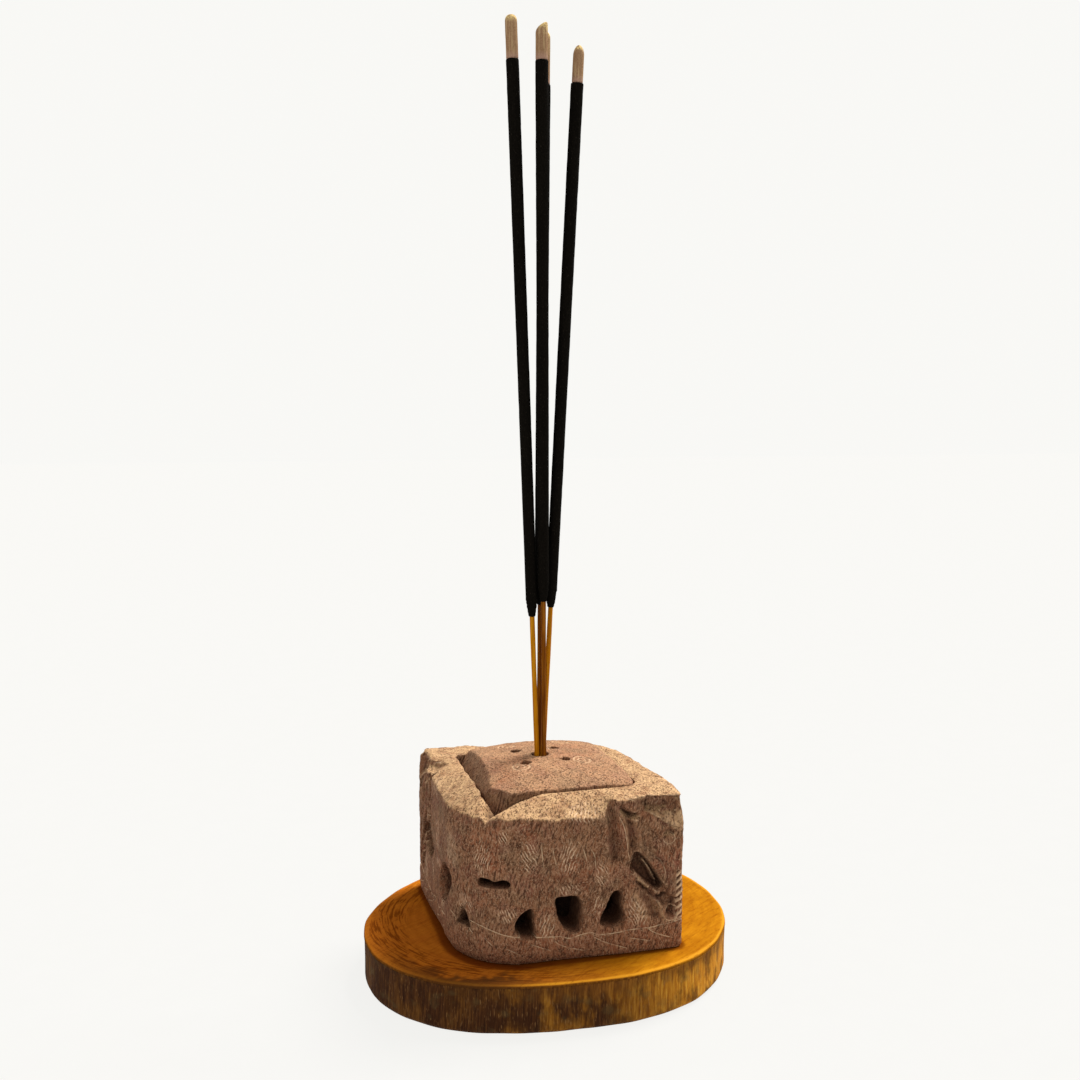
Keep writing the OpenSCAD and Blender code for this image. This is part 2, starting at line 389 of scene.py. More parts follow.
def ear_and_neck(u, z):
    """The wide channel behind the ear, the ear's edge, the hollow before it and the neck."""
    behind_ear = [(10.2, 46.5), (10.8, 42), (11.3, 38), (11.6, 35), (12.1, 31), (12.5, 26.5)]
    depth = stroke(u, z, behind_ear, 2.7, 2.6, 0.06)
    depth += stroke(u, z, [(15.5, 40.6), (16.6, 36.5), (17.1, 32.6), (17.3, 29.4)], 1.9, 2.3)
    depth += stroke(u, z, [(13.3, 42.4), (14.7, 40.9), (16.4, 39.9), (18.8, 39.3)], 1.1, 2.4)
    neck = [(19.0, 45.5), (20.1, 39.6), (20.9, 36.2), (21.9, 32.9), (22.4, 29.5)]
    depth += stroke(u, z, neck, 2.9, 1.7)
    depth -= stroke(u, z, EAR_EDGE, 0.8, 1.3)
    depth -= stroke(u, z, [(15.7, 38.9), (17.0, 38.2), (18.8, 38.3)], 0.8, 0.7)
    return depth


def brow(u, z):
    """Recess under the rim, the ledge of the brow below it and the shadow line under that."""
    upper = np.interp(u, [21.8, 25.9, 30.7], [40.6, 39.9, 39.6])
    lower = np.interp(u, [21.8, 24.5, 27.3, 32.1], [40.2, 38.5, 36.6, 34.7])
    top = np.interp(u, [18, 21.7, 25.8, 30.6], [45.4, 44.9, 44.5, 44.1])
    start = smoothstep(20.2, 21.8, u)
    recess = 2.3 * smoothstep(upper - 0.1, upper + 0.3, z) * smoothstep(top + 0.2, top - 0.2, z)
    ledge = 2.3 * np.clip((z - lower) / np.maximum(upper - lower, 0.2), 0, 1) * (z <= upper + 0.1)
    under = 1.1 * smoothstep(lower - 4.5, lower - 0.4, z) * (z < lower)
    depth = start * np.maximum(np.maximum(recess, ledge), under)
    return depth + patch(u, z, [(21.2, 43.6), (26.9, 42.9), (27.2, 40.9), (21.2, 41.4)], 0.8, 0.3)


def tusk_pocket(u, z):
    """Deep pocket with the tusk across it, the band below and the cheek beside it."""
    pocket = [(17.2, 28.2), (18.5, 29.1), (20.3, 27.8), (22.2, 25.3), (24.2, 22.2), (26.2, 18.4),
              (24.4, 17.6), (21.6, 19.8), (19.0, 22.4), (17.0, 25.2)]
    depth = patch(u, z, pocket, 4.2, 0.35)
    depth -= stroke(u, z, TUSK, 0.75, 2.7, 0.05)
    depth += stroke(u, z, [(18.0, 20.9), (19.8, 19.3), (21.6, 17.4)], 0.8, 1.7)
    depth -= stroke(u, z, [(17.7, 22.8), (19.2, 20.9), (20.8, 19.4), (22.2, 17.8)], 0.6, 0.7)
    cheek = [(21.8, 27.6), (23.4, 27.5), (25.5, 26.3), (27.1, 24.0), (27.8, 21.3), (27.5, 18.6)]
    depth += stroke(u, z, cheek, 1.1, 0.9)
    depth += stroke(u, z, [(26.1, 33.4), (27.2, 34.2), (28.6, 34.1), (29.6, 33.3)], 0.6, 0.8)
    return depth


def trunk(u, z):
    """Valley before the foreleg, tusk end, and the hollows on both sides of the trunk's curl."""
    depth = stroke(u, z, [(20.4, 18.6), (21.8, 15.4), (23.2, 12.6), (24.3, 10.2), (24.9, 8.6)], 2.1, 2.1)
    pit = [(21.8, 18.2), (24.9, 19.6), (27.0, 18.0), (28.2, 15.6), (26.0, 14.8), (24.0, 14.7), (22.3, 16.2)]
    depth += patch(u, z, pit, 1.6, 0.5)
    tusk_end = [(23.0, 18.6), (24.4, 18.6), (25.5, 17.4), (25.2, 16.0), (24.2, 15.9), (23.2, 17.0)]
    depth -= patch(u, z, tusk_end, 1.5, 0.4)
    depth += patch(u, z, [(24.8, 15.4), (27.6, 15.6), (30.6, 13.9), (29.8, 12.4), (26.4, 12.8)], 2.2, 0.6)
    depth += patch(u, z, [(27.2, 11.4), (29.0, 12.1), (30.8, 10.9), (29.6, 9.4), (27.8, 9.8)], 2.4, 0.4)
    depth -= stroke(u, z, [(25.0, 13.6), (25.9, 11.2), (26.8, 9.2), (28.6, 8.5), (30.6, 9.0)], 0.75, 0.9)
    return depth


def rope_zone(u, z, limit):
    """Where the rope runs: up the edge of the trunk."""
    return smoothstep(limit - 2.9, limit - 2.2, u) * smoothstep(8.4, 9.2, z) * smoothstep(23.0, 22.0, z)


def rope(u, z, limit):
    """Slanting notches like a rope's, 1 at the bottom of each."""
    turn = 0.5 + 0.5 * np.sin(2 * math.pi * (z - 0.75 * (u - limit)) / ROPE_PITCH)
    return turn * rope_zone(u, z, limit)


def relief(u, z, limit, side):
    """Depth carved from a face: the elephant's ear, neck, brow, tusk pocket and trunk."""
    depth = ear_and_neck(u, z) + brow(u, z) + tusk_pocket(u, z) + trunk(u, z)
    # The foot band stands a little proud below the ground line.
    depth += 0.35 * smoothstep(-0.2, 0.3, z - ground_height(u)) * smoothstep(30, 20, z)
    depth += stroke(u, z, [(-13, 19.0), (-5, 21.0), (2, 20.8), (9, 20.4)], 2.4, 0.4)
    # Near the head's edge nothing is carved deeper than the edge itself stands in.
    edge = (0.25 if side else 1.0) * head_edge(z)
    cap = edge + 0.2 + 4.5 * smoothstep(limit - 1.2, limit - 5.5, u)
    return np.minimum(depth, cap) + (0 if side else 0.8) * rope(u, z, limit)


GROUND = [(-31, 12.2), (-26.8, 11.2), (-22, 9.9), (-18.1, 8.9), (-10.1, 8.0), (-4, 7.5), (-1.5, 6.7),
          (2, 7.3), (5, 7.5), (7.7, 6.5), (12, 6.6), (16.6, 6.9), (21.1, 6.9), (24.9, 7.1), (32.9, 8.3)]
SIDE_EAR = [(16.8, 40.9), (17.3, 32.9), (15.8, 29.4), (9.2, 28.0), (4.6, 21.8), (4.4, 18.7),
            (3.3, 13.0), (0.1, 11.2)]
GRASS = [[(-5.8, 7.0), (-3.3, 4.8), (3.3, 2.6)], [(5.1, 6.9), (9.0, 4.5), (15.7, 1.9)],
         [(-12.3, 6.1), (-6.1, 3.3)], [(-19.3, 5.8), (-14.7, 3.4)],
         [(21.1, 6.9), (23.9, 4.9), (29.5, 2.8)], [(16.0, 4.6), (22.6, 3.0)],
         [(-26.4, 8.4), (-22.8, 5.8)], [(-33.0, 11.0), (-28.6, 8.0)], [(-39.0, 12.6), (-34.6, 9.6)]]
SCRATCHES = [[(-9.7, 35.4), (-9.4, 31.1), (-8.9, 26.8)], [(-6.6, 33.6), (-5.8, 29.5), (-4.5, 25.1)],
             [(0.6, 34.4), (2.2, 32.4), (3.1, 29.8), (3.5, 28.2)],
             [(4.4, 32.1), (5.6, 30.2), (6.1, 28.2), (6.1, 25.5)],
             [(23.2, 26.8), (25.0, 26.4), (26.6, 24.0), (27.4, 20.6)],
             [(14.1, 45.2), (16.3, 44.6), (18.5, 43.7)],
             [(26.4, 9.6), (27.6, 8.6), (29.2, 8.5), (31.4, 9.3)]]


def ground_height(u):
    run, height = np.array(GROUND).T
    return np.interp(u, run, height)


def nearest_face(x, y):
    """For each spot: which face it belongs to, the position along it and the depth
    under it. Each face owns the rounded corner at its elephant's rump."""
    along, depth = [], []
    for s in (1, -1):
        xr, yr = s * x, s * y
        cx, cy = RUMP_R - half_w, RUMP_R - half_d
        corner = (xr < cx) & (yr < cy)
        angle = np.arctan2(cx - xr, cy - yr)
        along.append(np.where(corner, cx - RUMP_R * angle, xr))
        depth.append(np.where(corner, RUMP_R - np.hypot(cx - xr, cy - yr), yr + half_d))
        along.append(yr)
        depth.append(np.where(corner, 99.0, xr + half_w))
    order = np.argmin(depth, 0)
    pick = (order, np.arange(len(x)))
    return order, np.array(along)[pick], np.array(depth)[pick]


def face_lines(side):
    """Thin scratched lines of one face: ground line, grass, eye, tusk and a few long scratches."""
    lines = [GROUND, TUSK, EAR_EDGE]
    if side:
        lines.append(SIDE_EAR)
    lines.append([(27.8 + 1.75 * math.cos(a), 32.3 + 1.6 * math.sin(a)) for a in np.linspace(-3.5, 1.5, 8)])
    for line in GRASS + SCRATCHES:
        shift = rng.uniform(-0.3, 0.3, 2)
        lines.append([(u + shift[0], z + shift[1]) for u, z in line])
    return [spline(line, steps=4) for line in lines]


FACE_LINES = [face_lines(face % 2 == 1) for face in range(4)]
LINE_REACH = 1.2
# Patches of hatching: middle, half sizes, and 1 or -1 for the way they slant.
HATCHING = [(-1.6, 29.4, 3.2, 5.6, 1), (3.2, 41.4, 6.0, 2.6, -1), (-7.8, 11.0, 2.6, 4.0, 1),
            (-19.0, 15.0, 3.2, 2.4, -1), (-20.0, 36.4, 1.8, 2.4, -1), (7.0, 14.6, 1.8, 4.0, 1),
            (17.6, 12.0, 2.4, 5.0, -1), (-13.0, 31.0, 3.0, 5.0, -1), (-26.0, 30.0, 3.0, 6.0, 1),
            (-32.0, 16.0, 3.0, 4.0, -1), (-1.0, 20.4, 4.0, 1.6, -1), (8.0, 24.0, 2.2, 4.0, -1),
            (19.6, 11.0, 2.2, 4.2, 1), (25.0, 42.4, 2.4, 1.4, 1), (-38.0, 30.0, 3.5, 6.0, -1)]

# Tan places of the head, tan from wear with painted highlight: the brow's lit ledge, and strokes with their width
# and strength.
LEDGE_AREA = [(21.4, 40.4), (25.0, 39.9), (32.8, 39.6), (32.8, 34.4), (30.4, 34.5), (27.6, 36.2),
              (24.4, 38.4)]
TAN_STROKES = [
    ([(17.9, 22.6), (19.4, 20.6), (21.0, 19.0), (22.6, 17.2)], 0.9, 0.8),
    ([(24.6, 14.2), (25.5, 11.4), (26.6, 8.9), (28.8, 8.1), (30.6, 9.0)], 0.9, 0.8),
    ([(17.0, 18.6), (18.4, 14.4), (20.3, 10.6), (22.6, 7.6)], 2.0, 0.55),
    ([(32.4, 31.0), (31.9, 27.5), (31.7, 23.0)], 0.9, 0.75),
    ([(22.8, 15.6), (24.0, 12.6), (24.8, 9.6)], 0.8, 0.45),
    ([(13.6, 46.0), (16.2, 45.2), (18.8, 44.4), (20.6, 44.3)], 0.9, 1.0),
    ([(28.6, 46.2), (29.6, 44.6), (30.9, 42.6)], 0.6, 0.9),
    ([(14.0, 41.5), (15.1, 37.0), (15.9, 33.0), (16.4, 28.0)], 0.7, 0.5),
]


def tan_paint(u, z, under):
    """How far the stone is painted tan in the places above: tan from wear, with painted highlight on the lit ledge
    and ridges.
    """
    near = (under < 4.5) & (u > 10)
    paint = np.zeros(len(u))
    ledge = to_outline(u[near], z[near], spline(LEDGE_AREA, closed=True, steps=3))
    paint[near] = smoothstep(0.35, -0.35, ledge) * smoothstep(2.6, 1.8, under[near])
    for points, width, strength in TAN_STROKES:
        d, along, _ = to_path(u[near], z[near], spline(points))
        ends = smoothstep(0, 0.15, along) * smoothstep(0, 0.15, 1 - along)
        paint[near] = np.maximum(paint[near], strength * bump(d, width) * ends)
    return paint


def face_marks(local):
    """On the outer faces: signed distance to the nearest scratched line, how much that
    line shows, and the two ways of hatching."""
    face, u, under = nearest_face(local[:, 0], local[:, 1])
    z = local[:, 2]
    near = np.full(len(local), 9.0)
    shown = np.zeros(len(local))
    hatch = {1: np.zeros(len(local)), -1: np.zeros(len(local))}
    for number, lines in enumerate(FACE_LINES):
        own = np.flatnonzero((under < 5) & (face == number))
        for path in lines:
            lo, hi = path.min(0) - LINE_REACH, path.max(0) + LINE_REACH
            close = own[(u[own] > lo[0]) & (u[own] < hi[0]) & (z[own] > lo[1]) & (z[own] < hi[1])]
            d, along, side = to_path(u[close], z[close], path)
            better = d < np.abs(near[close])
            length = np.hypot(*(path[1:] - path[:-1]).T).sum()
            ends = smoothstep(0, 1.2, np.minimum(along, 1 - along) * length)
            near[close] = np.where(better, d * side, near[close])
            shown[close] = np.where(better, ends * smoothstep(0.95, 0.5, d), shown[close])
        for cu, cz, ru, rz, way in HATCHING:
            blob = 1 - np.hypot((u[own] - cu) / ru, (z[own] - cz) / rz)
            hatch[way][own] = np.maximum(hatch[way][own], smoothstep(0, 0.35, blob))
    return near, shown, hatch[1], hatch[-1]


def rim_height(x, y, outline):
    """Height of the rim's top: flat by the heads, sloping outwards and worn elsewhere."""
    # For each side: how far in from it a spot is, how far the rim drops there and how wide
    # the slope is.
    sides = [
        (y + half_d, np.interp(x, *HEAD_RUN_DROP), RIM_SLOPE),
        (half_d - y, np.interp(-x, *HEAD_RUN_DROP), RIM_SLOPE),
        (x + half_w, np.interp(y, [0, 12, 16, 20, 31], [3.6, 3.1, 2.4, 1.0, 0.6]), RIM_SLOPE),
        (half_w - x, np.interp(y, [-18, -4.6, 8, 21], [1.3, 2.8, 3.4, 3.8]),
         np.interp(y, [-31, -18, -4.6, 8, 21], [1.6, 2.0, 4.6, 6.4, 8.2])),
    ]
    share = [1 / (np.maximum(under, 0) + 0.8) ** 3 for under, _, _ in sides]
    total = sum(share)
    drop = sum(s * side[1] for s, side in zip(share, sides)) / total
    width = sum(s * side[2] for s, side in zip(share, sides)) / total
    fall = drop * np.clip(1 + outline / width, 0, 1) ** 1.2
    chips = 0.30 * np.sin(x / 2.3 + 1.3) * np.sin(y / 2.9 + 0.4) + 0.18 * np.sin((x - y) / 1.1)
    # Crack across the back left corner: the rim in front of it is a step lower.
    dx, dy = x - CRACK_START[0], y - CRACK_START[1]
    run = CRACK_RUN / CRACK_LENGTH
    beside = dx * run[1] - dy * run[0]
    along = dx * run[0] + dy * run[1]
    step = 1.5 * smoothstep(0, 0.5, beside) * smoothstep(9, 1, beside) * smoothstep(13, 8, along)
    return rim_z - fall - step + chips * np.clip(fall / 3, 0, 1)


def corner_openings(field, x, y, z):
    """Slot under the tail and the small gap by the foot, on both rounded corners."""
    for s in (1, -1):
        # Slot: a lying capsule, pinched in the middle, cut straight in.
        dx, dy = s * x + SLOT_SPOT[0], s * y + SLOT_SPOT[1]
        a = math.radians(-30)
        across = dx * math.cos(a) + dy * math.sin(a)
        inward = -dx * math.sin(a) + dy * math.cos(a)
        pinch = 0.4 * np.exp(-((across - 0.4) / 1.1) ** 2)
        slot = np.hypot(np.maximum(np.abs(across) - 3.5, 0), z - SLOT_SPOT[2] + pinch) - 1.2 + pinch * 0.5
        field = smooth_cut(field, np.maximum(slot, np.abs(inward) - 14), 0.4)
        # Gap: a small tent that narrows upwards.
        a = math.radians(212)
        cx, cy = s * x + half_w - RUMP_R, s * y + half_d - RUMP_R
        out = cx * math.cos(a) + cy * math.sin(a)
        side_run = -cx * math.sin(a) + cy * math.cos(a)
        width = np.clip(2.9 - (z - 10) * 0.5, 0, 3)
        small = np.maximum(np.abs(side_run) - width, np.maximum(9.6 - z, z - 15.6)) * 0.8
        field = smooth_cut(field, np.maximum(small, -out), 0.8)
    return field


def cut_face(field, face, axes):
    """Takes the relief and the openings of one face out of the stone. The face counts from
    the front: front, left, back, right."""
    side = face % 2 == 1
    sign = -1 if face > 1 else 1
    limit = half_d if side else half_w
    run, depth_axis = (axes[1], axes[0]) if side else (axes[0], axes[1])
    u, z = np.meshgrid(sign * run, axes[2], indexing="ij")
    deep = relief(u, z, limit, side)
    edge = (1.0 if face == 0 else 0.15) * head_edge(z)
    gaps = SIDE_GAPS if side else FRONT_GAPS + [POCKET_HOLE]
    gap = np.min([to_outline(u, z, spline(g, closed=True, steps=3)) for g in gaps], 0)
    # Face drawings are spread over the third axis.
    if side:
        spread, across = (None, slice(None)), sign * run[None, :, None]
        under = sign * depth_axis[:, None, None] + half_w
    else:
        spread, across = (slice(None), None), sign * run[:, None, None]
        under = sign * depth_axis[None, :, None] + half_d
    field = smooth_max(field, deep[spread] - under, 0.25)
    field = smooth_max(field, across - limit + edge[spread], 0.7)
    funnel = gap[spread] + 0.12 * np.clip(under, 0, 3)
    return smooth_cut(field, np.maximum(funnel, under - GAP_REACH), 0.5)


def burner_field(axes):
    x = axes[0][:, None, None]
    y = axes[1][None, :, None]
    z = axes[2][None, None, :]
    outline = wall_shape(x, y)
    tuck = 1.6 * np.clip(1 - z / 7, 0, 1) ** 2 * smoothstep(10, 40, -(x + y))
    field = outline + tuck + 0.5 * np.clip(1 - z / 2.5, 0, 1) ** 2
    field = smooth_max(field, (z - rim_height(x, y, outline)) * 0.9, 0.45)
    # Facet that cuts the top off the head at the back left.
    facet = (z - rim_z + 0.3 - np.minimum(0.85 * (x + 29.4), 0) - 8 * smoothstep(21, 16, y)) * 0.75
    field = smooth_max(field, facet, 0.4)
    for face in range(4):
        field = cut_face(field, face, axes)
    field = corner_openings(field, x, y, z)
    # Hollow, seat of the lid and the V notch at the front left.
    hollow = np.maximum(rounded_box(x, y, (-19, -20), (19, 20), 8), FLOOR_T - z)
    field = smooth_cut(field, hollow, 0.8)
    seat_lo = lid_lo[:2] - SEAT_GAP - (0.6, 0.0)
    seat_hi = lid_hi[:2] + SEAT_GAP
    ragged = 0.3 * np.sin(y / 1.7) * np.sin(z / 2.0 + y / 4)
    seat = np.maximum(rounded_box(x, y, seat_lo, seat_hi, 5) + ragged, LEDGE_Z - z)
    field = smooth_cut(field, seat, 0.45)
    across = (x - y) / math.sqrt(2) - 2.4
    corner_way = -(x + y) / math.sqrt(2)
    right_flank = np.clip(across / 10.5, 0, 1) ** 0.62 * NOTCH_RISE
    left_flank = np.clip(-across / 6.0, 0, 1) ** 0.85 * NOTCH_RISE
    notch = np.maximum(NOTCH_Z + np.where(across > 0, right_flank, left_flank) - z, 20 - corner_way)
    field = smooth_cut(field, notch, 0.5)
    return np.maximum(field, -z)


def stone_finish(local):
    """Chisel waviness and grain of the burner, with its scratched lines."""
    near, shown, _, _ = face_marks(local)
    rough = 0.14 * noise(local, 3.1, 1) + 0.10 * noise(local, 1.1, 2) + 0.06 * noise(local, 0.6, 3)
    plan = wall_shape(local[:, 0], local[:, 1])
    inside = (plan < -8) & (local[:, 2] > FLOOR_T - 0.5)
    rough = np.where(inside, 0.25 * rough, rough)
    groove = 0.22 * bump(near, 0.5) * shown
    return np.where(local[:, 2] < 0.15, 0, groove + rough)


def grid(lo, hi, step):
    """Sample places along three axes, from just outside lo to just outside hi."""
    return [np.arange(a - 1.5 * step, b + 2 * step, step, dtype=np.float32) for a, b in zip(lo, hi)]


BURNER_TRIANGLES = 194000
burner_step = 0.36    # spacing of the samples
burner_axes = grid((-half_w, -half_d, 0), (half_w, half_d, rim_z), burner_step)
burner = carve("carved_burner", burner_field(burner_axes), burner_axes, BURNER_TRIANGLES, stone_finish)
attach(burner, "burner")
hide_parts("stone_burner")

# ---------------------------------------------------------------- lid

RINGS = [(-8.9, -8.2), (10.0, -6.5), (-7.8, 14.3), (9.9, 15.5)]
DOME_R = 115.0
PLUG = (17.0, 18.0)
LID_CORNER_R = 4.0


def above_plane(x, y, z, point, normal):
    """Signed distance above a plane through a point."""
    n = np.array(normal) / np.linalg.norm(normal)
    return (x - point[0]) * n[0] + (y - point[1]) * n[1] + (z - point[2]) * n[2]


def lid_field(axes):
    x = axes[0][:, None, None]
    y = axes[1][None, :, None]
    z = axes[2][None, None, :]
    body = rounded_box(x, y, lid_lo[:2], lid_hi[:2], LID_CORNER_R)
    dome = z - (crown_z - (x ** 2 + y ** 2) / (2 * DOME_R))
    field = smooth_max(body, dome, 0.7)
    # Wide slope on the left, a cut corner at the front left and worn front and right edges.
    field = smooth_max(field, above_plane(x, y, z, (-18.0, 0, 48.5), (-5.4, 0.3, 3.9)), 0.35)
    field = smooth_max(field, above_plane(x, y, z, (-17.2, -20.6, 47.2), (-1.0, -0.85, 0.45)), 0.3)
    field = smooth_max(field, above_plane(x, y, z, (0, -22.4, 46.7), (0, -0.30, 1.0)), 0.5)
    field = smooth_max(field, above_plane(x, y, z, (20.4, 0, 47.3), (0.5, 0, 1.0)), 0.6)
    field = smooth_max(field, LEDGE_Z + 0.02 - z, 0.3)
    plug = np.maximum(rounded_box(x, y, (-PLUG[0], -PLUG[1]), PLUG, 7), lid_lo[2] - z)
    plug = smooth_max(plug, z - LEDGE_Z - 1, 0.3)
    field = np.minimum(field, plug)
    for sx in (-1, 1):
        for sy in (-1, 1):
            dx, dy = x - holes_mid[0] - sx * hole_offset, y - holes_mid[1] - sy * hole_offset
            wobble = 0.12 * np.sin(3 * np.arctan2(dy, dx) + sx + 2 * sy)
            field = smooth_cut(field, np.hypot(dx, dy) - hole_r - wobble + 0 * z, 0.4)
    socket = np.hypot(x - holes_mid[0], y - holes_mid[1]) - SOCKET_R
    return smooth_cut(field, np.maximum(socket, crown_z - SOCKET_DEPTH - z), 0.3)


def ring_marks(local):
    """Depth of the engraved rings with a dot inside, on the lid's top."""
    depth = np.zeros(len(local))
    for cx, cy in RINGS:
        r = np.hypot(local[:, 0] - cx, local[:, 1] - cy)
        depth += 0.35 * bump(r - 2.45, 0.5) + 0.3 * bump(r - 1.15, 0.4)
    return np.where(local[:, 2] > 44, depth, 0)


def lid_finish(local):
    """Grain of the lid and its engraved rings."""
    rough = 0.10 * noise(local, 3.3, 5) + 0.07 * noise(local, 1.0, 6) + 0.04 * noise(local, 0.5, 7)
    low = local[:, 2] < LEDGE_Z + 0.4
    return ring_marks(local) + np.where(low, 0.2 * rough, rough)


LID_TRIANGLES = 110000
lid_step = 0.3
lid_axes = grid(lid_lo, lid_hi, lid_step)
lid = carve("carved_lid", lid_field(lid_axes), lid_axes, LID_TRIANGLES, lid_finish)
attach(lid, "lid")
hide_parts("stone_lid")

# ---------------------------------------------------------------- wood slice and bark


def round_outline(node, order=6):
    """Smooth outer edge of a CAD node: the radius about the origin at an angle."""
    co = np.array([v.co[:2] for v in frame["nodes"][node].data.vertices]) / MM
    angle = np.arctan2(co[:, 1], co[:, 0])
    r = np.hypot(co[:, 0], co[:, 1])
    apart = np.abs((angle[:, None] - angle[None, :] + math.pi) % (2 * math.pi) - math.pi)
    outer = ((apart < math.radians(3)) & (r[None, :] > r[:, None] + 0.8)).sum(1) == 0
    terms = [np.ones(outer.sum())]
    for k in range(1, order + 1):
        terms += [np.cos(k * angle[outer]), np.sin(k * angle[outer])]
    weights = np.linalg.lstsq(np.array(terms).T, r[outer], rcond=None)[0]

    def radius(a):
        waves = [np.ones_like(a)]
        for k in range(1, order + 1):
            waves += [np.cos(k * a), np.sin(k * a)]
        return np.tensordot(weights, np.array(waves), 1)

    return radius


slice_lo, slice_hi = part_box("wood_slice")
slice_t = (slice_hi.z - slice_lo.z) / MM
wood_edge = round_outline("wood_slice")
bark_outer = round_outline("bark_edge")
SKIN = 0.12        # the visible edge stands this far inside the CAD outline
LIP_T = 1.0        # height of the wood's rounded lip over the bark
LIP_R = 0.85       # how far the lip rounds over
SLICE_SIDES = 720
BARK_SIDES = 1080


def slice_edge(a):
    """Radius of the visible edge: the CAD outline with the unevenness of a sawn, sanded rim."""
    uneven = 0.10 * (np.sin(5 * a + 1) + np.sin(13 * a) + 0.6 * np.sin(29 * a + 2))
    return bark_outer(a) - SKIN - 0.25 + uneven


def lathe_like(name, profile, count):
    """Closed surface swept round the slice. profile gives a list of (radius, height) rows
    for an array of angles, from the bottom's middle to the top's, or as a closed loop."""
    angles = np.linspace(0, 2 * math.pi, count, endpoint=False)
    rows = profile(angles)
    co = np.array([[r * np.cos(angles), r * np.sin(angles), np.full(count, z)] for r, z in rows])
    vertices = co.transpose(2, 0, 1).reshape(-1, 3) * MM
    i = np.arange(count)[:, None] * len(rows)
    j = np.arange(len(rows) - 1)[None, :]
    following = (np.arange(count)[:, None] + 1) % count * len(rows)
    quads = np.stack([i + j, following + j, following + j + 1, i + j + 1], -1).reshape(-1, 4)
    return add_mesh(name, vertices, quads)


def merge_close(obj):
    apply_modifier(obj, "WELD", merge_threshold=0.01 * MM)


def slice_profile(a):
    """Outline of the slice at an angle: its foot, the wall behind the bark, the lip, the top."""
    edge, wall = slice_edge(a), wood_edge(a) - 0.1
    lip_z = slice_t - LIP_T
    rows = [(wood_edge(a) * f, 0.0) for f in np.linspace(0, 0.97, 12)]
    rows += [(wood_edge(a) - 0.3, 0.3), (wall, 0.9), (wall, 5.0), (wall, 9.0), (wall, lip_z - 0.1)]
    rows += [(edge - 0.25, lip_z - 0.05), (edge, lip_z)]
    for turn in np.linspace(0, math.pi / 2, 7):
        rows.append((edge - LIP_R * (1 - math.cos(turn)), lip_z + 0.25 + 0.72 * math.sin(turn)))
    rows += [((edge - LIP_R) * f, slice_t - 0.02) for f in np.linspace(1, 0, 80)[1:]]
    return rows


def shape_slice():
    obj = lathe_like("polished_slice", slice_profile, SLICE_SIDES)
    co = vertex_data(obj)
    local = co / MM
    top = smoothstep(slice_t - 0.6, slice_t - 0.1, local[:, 2])
    flat = local * (1, 1, 0.2)
    dents = 0.05 + 0.05 * noise(flat, 6.0, 21) + 0.03 * noise(flat, 2.0, 22)
    co[:, 2] -= np.clip(dents, 0, 1) * top * MM
    move_vertices(obj, co)
    merge_close(obj)
    return obj


def bark_profile(a):
    """Outline of the bark at an angle, as a closed loop: under it, up its outside and back."""
    edge, inner = slice_edge(a), wood_edge(a) + 0.02
    low, high = 0.3, slice_t - LIP_T
    rows = [(inner, low), (edge - 1.1, low)]
    for f in np.linspace(0, 1, 30):
        foot = 0.9 * (1 - smoothstep(0, 0.12, f)) ** 2
        rows.append((edge - 0.02 - 0.10 * math.sin(math.pi * f) - foot, low + 0.03 + f * (high - low - 0.03)))
    rows += [(edge - 0.9, high), (inner, high), (inner, (low + high) / 2), (inner, low)]
    return rows


def shape_bark():
    obj = lathe_like("bark_band", bark_profile, BARK_SIDES)
    co = vertex_data(obj)
    local = co / MM
    height = local[:, 2]
    angle = np.arctan2(local[:, 1], local[:, 0])
    run = np.stack([50 * np.cos(angle), 50 * np.sin(angle), height], 1)
    r = np.hypot(local[:, 0], local[:, 1])
    outer = smoothstep(0.7, 1.1, r - wood_edge(angle))
    outer = outer * smoothstep(slice_t - LIP_T - 0.1, slice_t - 2.2, height)
    fibre = noise(run / (1, 1, 9), 0.7, 31) * 0.5 + noise(run / (1, 1, 6), 1.5, 32)
    ridges = 0.09 * np.abs(fibre) + 0.08 * (1 + noise(run, 6.0, 33))
    co[:, :2] *= (1 - ridges * outer / r)[:, None]
    move_vertices(obj, co)
    merge_close(obj)
    return obj


wood = shape_slice()
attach(wood, "base")
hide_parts("wood_slice")
bark = shape_bark()
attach(bark, "base")
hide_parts("bark_edge")

# ---------------------------------------------------------------- incense sticks

joint_axis = {j["child"]: np.array(j["axis"], float) for j in frame["joints"]}


def rod_rows(node, axis):
    """Where a CAD rod starts and ends along its axis, and its axis point at zero."""
    co = np.array([v.co for v in frame["nodes"][node].data.vertices])
    along = co @ axis
    foot = co[along < along.min() + 0.0004].mean(0)
    return foot - axis * (foot @ axis), along.min(), along.max()


def side_ways(axis):
    """Two directions square to an axis and to each other."""
    side = np.cross(axis, (0.0, 1.0, 0.0))
    side /= np.linalg.norm(side)
    return side, np.cross(axis, side)


